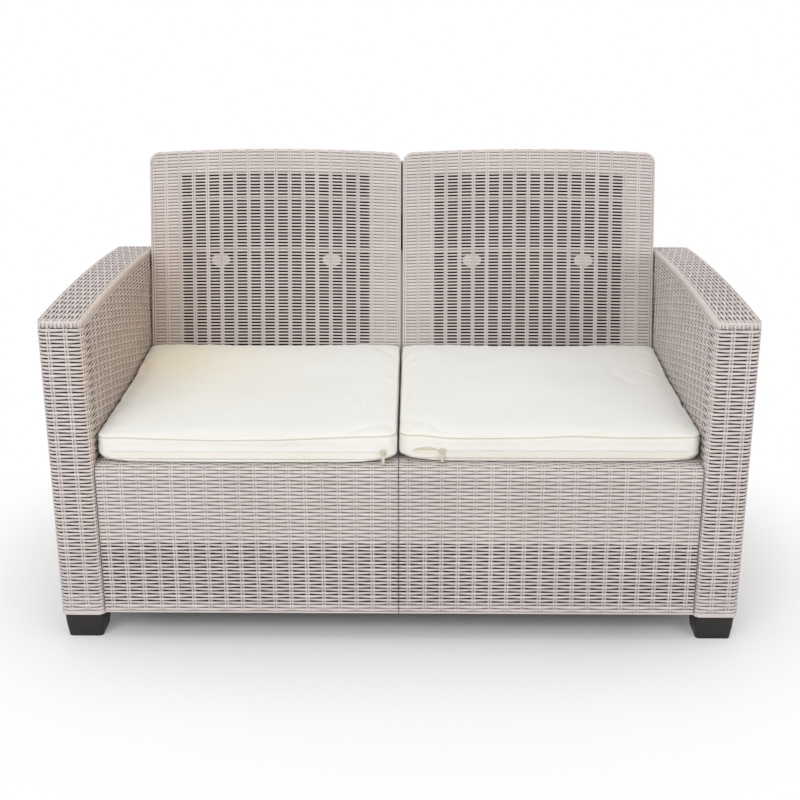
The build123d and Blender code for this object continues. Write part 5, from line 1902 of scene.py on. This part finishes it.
@dataclass
class Studio:
    """Pale floor, soft lamps and the camera at the photograph's angle."""

    lens: float = 60.1
    camera_at: Triple = (0.0276, -2.5568, 1.2136)
    camera_turn: Triple = (71.41, 0.04, 0.63)
    floor_half: float = 14.0
    clear_from: float = 0.5
    clear_to: float = 1.05
    ambient: float = 0.6

    def camera(self) -> None:
        """Sets the camera."""
        lens = bpy.data.cameras.new("photo_camera")
        lens.lens, lens.sensor_width = self.lens, 36.0
        eye = linked("photo_camera", lens)
        eye.location = self.camera_at
        eye.rotation_euler = [math.radians(angle) for angle in self.camera_turn]
        bpy.context.scene.camera = eye

    def lamp(self, name: str, place: Triple, size: float, power: float) -> None:
        """Hangs a soft square lamp that faces the middle of the object.

        Args:
            name: The lamp's name.
            place: Where it hangs.
            size: Its side.
            power: Its power in watts.
        """
        light = bpy.data.lights.new(name, "AREA")
        light.size, light.energy = size, power
        lamp = linked(name, light)
        lamp.location = place
        lamp.rotation_euler = (Vector((0, 0, 0.4)) - Vector(place)).to_track_quat("-Z", "Y").to_euler()

    def seen(self, tree: NodeTree) -> Node:
        """Whether a ray shows the backdrop straight, as a reflection or through something clear."""
        rays = put(tree, "ShaderNodeLightPath").outputs
        straight = ("MAXIMUM", rays["Is Camera Ray"], rays["Is Glossy Ray"])
        return sums(tree, straight, ("MAXIMUM", None, rays["Is Transmission Ray"]))

    def paper(self) -> Material:
        """White paper that keeps the shadow near the object and fades to plain white further off."""
        made = bpy.data.materials.new("white_paper_sweep")
        tree = emptied(made)
        place = put(tree, "ShaderNodeTexCoord").outputs["Object"]
        away = put(tree, "ShaderNodeVectorMath", {0: place}, operation="LENGTH").outputs["Value"]
        reach = {0: away, 1: self.clear_from, 2: self.clear_to}
        fade = put(tree, "ShaderNodeMapRange", reach, interpolation_type="SMOOTHSTEP")
        matt = put(tree, "ShaderNodeBsdfDiffuse", {"Color": linear("#F4F4F4")})
        glow = put(tree, "ShaderNodeEmission", {"Color": WHITE, "Strength": 1.0})
        share = sums(tree, ("MULTIPLY", self.seen(tree), fade))
        mixed = put(tree, "ShaderNodeMixShader", {0: share, 1: matt, 2: glow})
        put(tree, "ShaderNodeOutputMaterial", {0: mixed})
        return made

    def floor(self) -> None:
        """Lays the floor."""
        half = self.floor_half
        mesh = bpy.data.meshes.new("floor")
        corners = [(-half, -half, 0), (half, -half, 0), (half, half, 0), (-half, half, 0)]
        mesh.from_pydata(corners, [], [(0, 1, 2, 3)])
        mesh.materials.append(self.paper())
        linked("floor", mesh)

    def surroundings(self) -> None:
        """Lights the world evenly and shows it white."""
        world = bpy.data.worlds.new("white_room")
        tree = emptied(world)
        dim = put(tree, "ShaderNodeBackground", {"Color": WHITE, "Strength": self.ambient})
        white = put(tree, "ShaderNodeBackground", {"Color": WHITE, "Strength": 1.0})
        mixed = put(tree, "ShaderNodeMixShader", {0: self.seen(tree), 1: dim, 2: white})
        put(tree, "ShaderNodeOutputWorld", {0: mixed})
        bpy.context.scene.world = world

    def build(self) -> None:
        """Sets up floor, light and camera."""
        bpy.context.scene.view_settings.view_transform = "Standard"
        self.surroundings()
        self.floor()
        self.lamp("key_front_left", (-1.5, -2.9, 2.1), 1.8, 42)
        self.lamp("fill_front_right", (2.1, -2.5, 1.5), 1.6, 20)
        self.lamp("overhead", (0, 0.4, 2.9), 2.2, 22)
        self.camera()


def dress_construction(finishes: Finishes) -> None:
    """Gives the CAD nodes that stay in view their materials.

    Args:
        finishes: The materials.
    """
    by_slot = {
        "rattan_resin": finishes.resin,
        "foot_plastic": finishes.foot,
        "cushion_cover": finishes.cotton,
        "zip_tape": finishes.tape,
        "zip_metal": finishes.lacquer,
        "steel_fittings": finishes.steel,
    }
    for entry in frame["record"]["subparts"]:
        for slot in frame["nodes"][entry["node"]].material_slots:
            slot.material = by_slot[entry["material_slot"]]


def cushions() -> list[SeatCushion]:
    """The two cushions, each with the rises of its front seam and the folds of its top, in millimetres."""
    front, outer = ((0, 52), (40, 50), (75, 50), (147, 47), (230, 44), (325, 43)), ((390, 44.5), (440, 45.5))
    rises = (*front, *outer, (485, 47), (531, 46))
    folds = (
        Fold(((99, -55), (71, -164), (46, -264))),
        Fold(((37, -203), (41, -264)), 1.2 * MM),
        Fold(((56, -42), (18, -28)), 0.9 * MM),
        Fold(((49, -90), (14, -64)), 0.9 * MM),
        Fold(((470, -120), (400, -90), (330, -95)), 0.7 * MM, 12 * MM),
    )
    left = SeatCushion(Side.LEFT, rises, folds, belly=3 * MM, lift=9 * MM, warm_most=0.55)
    inner, outer = ((0, 50), (43, 50), (84, 44.8), (127, 44.3)), ((394, 46.5), (470, 46.5), (531, 47.5))
    rises = (*inner, (239, 46.3), (310, 50), *outer)
    folds = (
        Fold(((420, 118), (428, -9), (453, -60), (530, -72)), 1.3 * MM, 9 * MM),
        Fold(((467, 33), (515, -18)), 1.1 * MM, 8 * MM),
        Fold(((505, 163), (470, 150)), 0.9 * MM),
        Fold(((173, -195), (172, -277)), 1.2 * MM, 10 * MM),
        Fold(((149, -200), (151, -270)), 0.7 * MM, 10 * MM),
    )
    sizes = {"belly": 1.6 * MM, "lift": 8 * MM, "gape": 6.5 * MM, "inner_ease": 3 * MM}
    return [left, SeatCushion(Side.RIGHT, rises, folds, **sizes)]


def main() -> None:
    """Builds the whole loveseat and its studio."""
    logging.basicConfig(level=logging.INFO, format="%(name)s %(message)s")
    finishes = Finishes()
    dress_construction(finishes)
    weave, coil = WeaveTree(), CoilTree()
    for moulding in (Arm(weave, finishes), Aprons(weave, finishes), Backs(weave, finishes)):
        moulding.build()
    for cushion in cushions():
        cushion.build(finishes)
        CushionZip(cushion).build(coil, finishes)
    Studio().build()


if __name__ == "__main__":
    main()
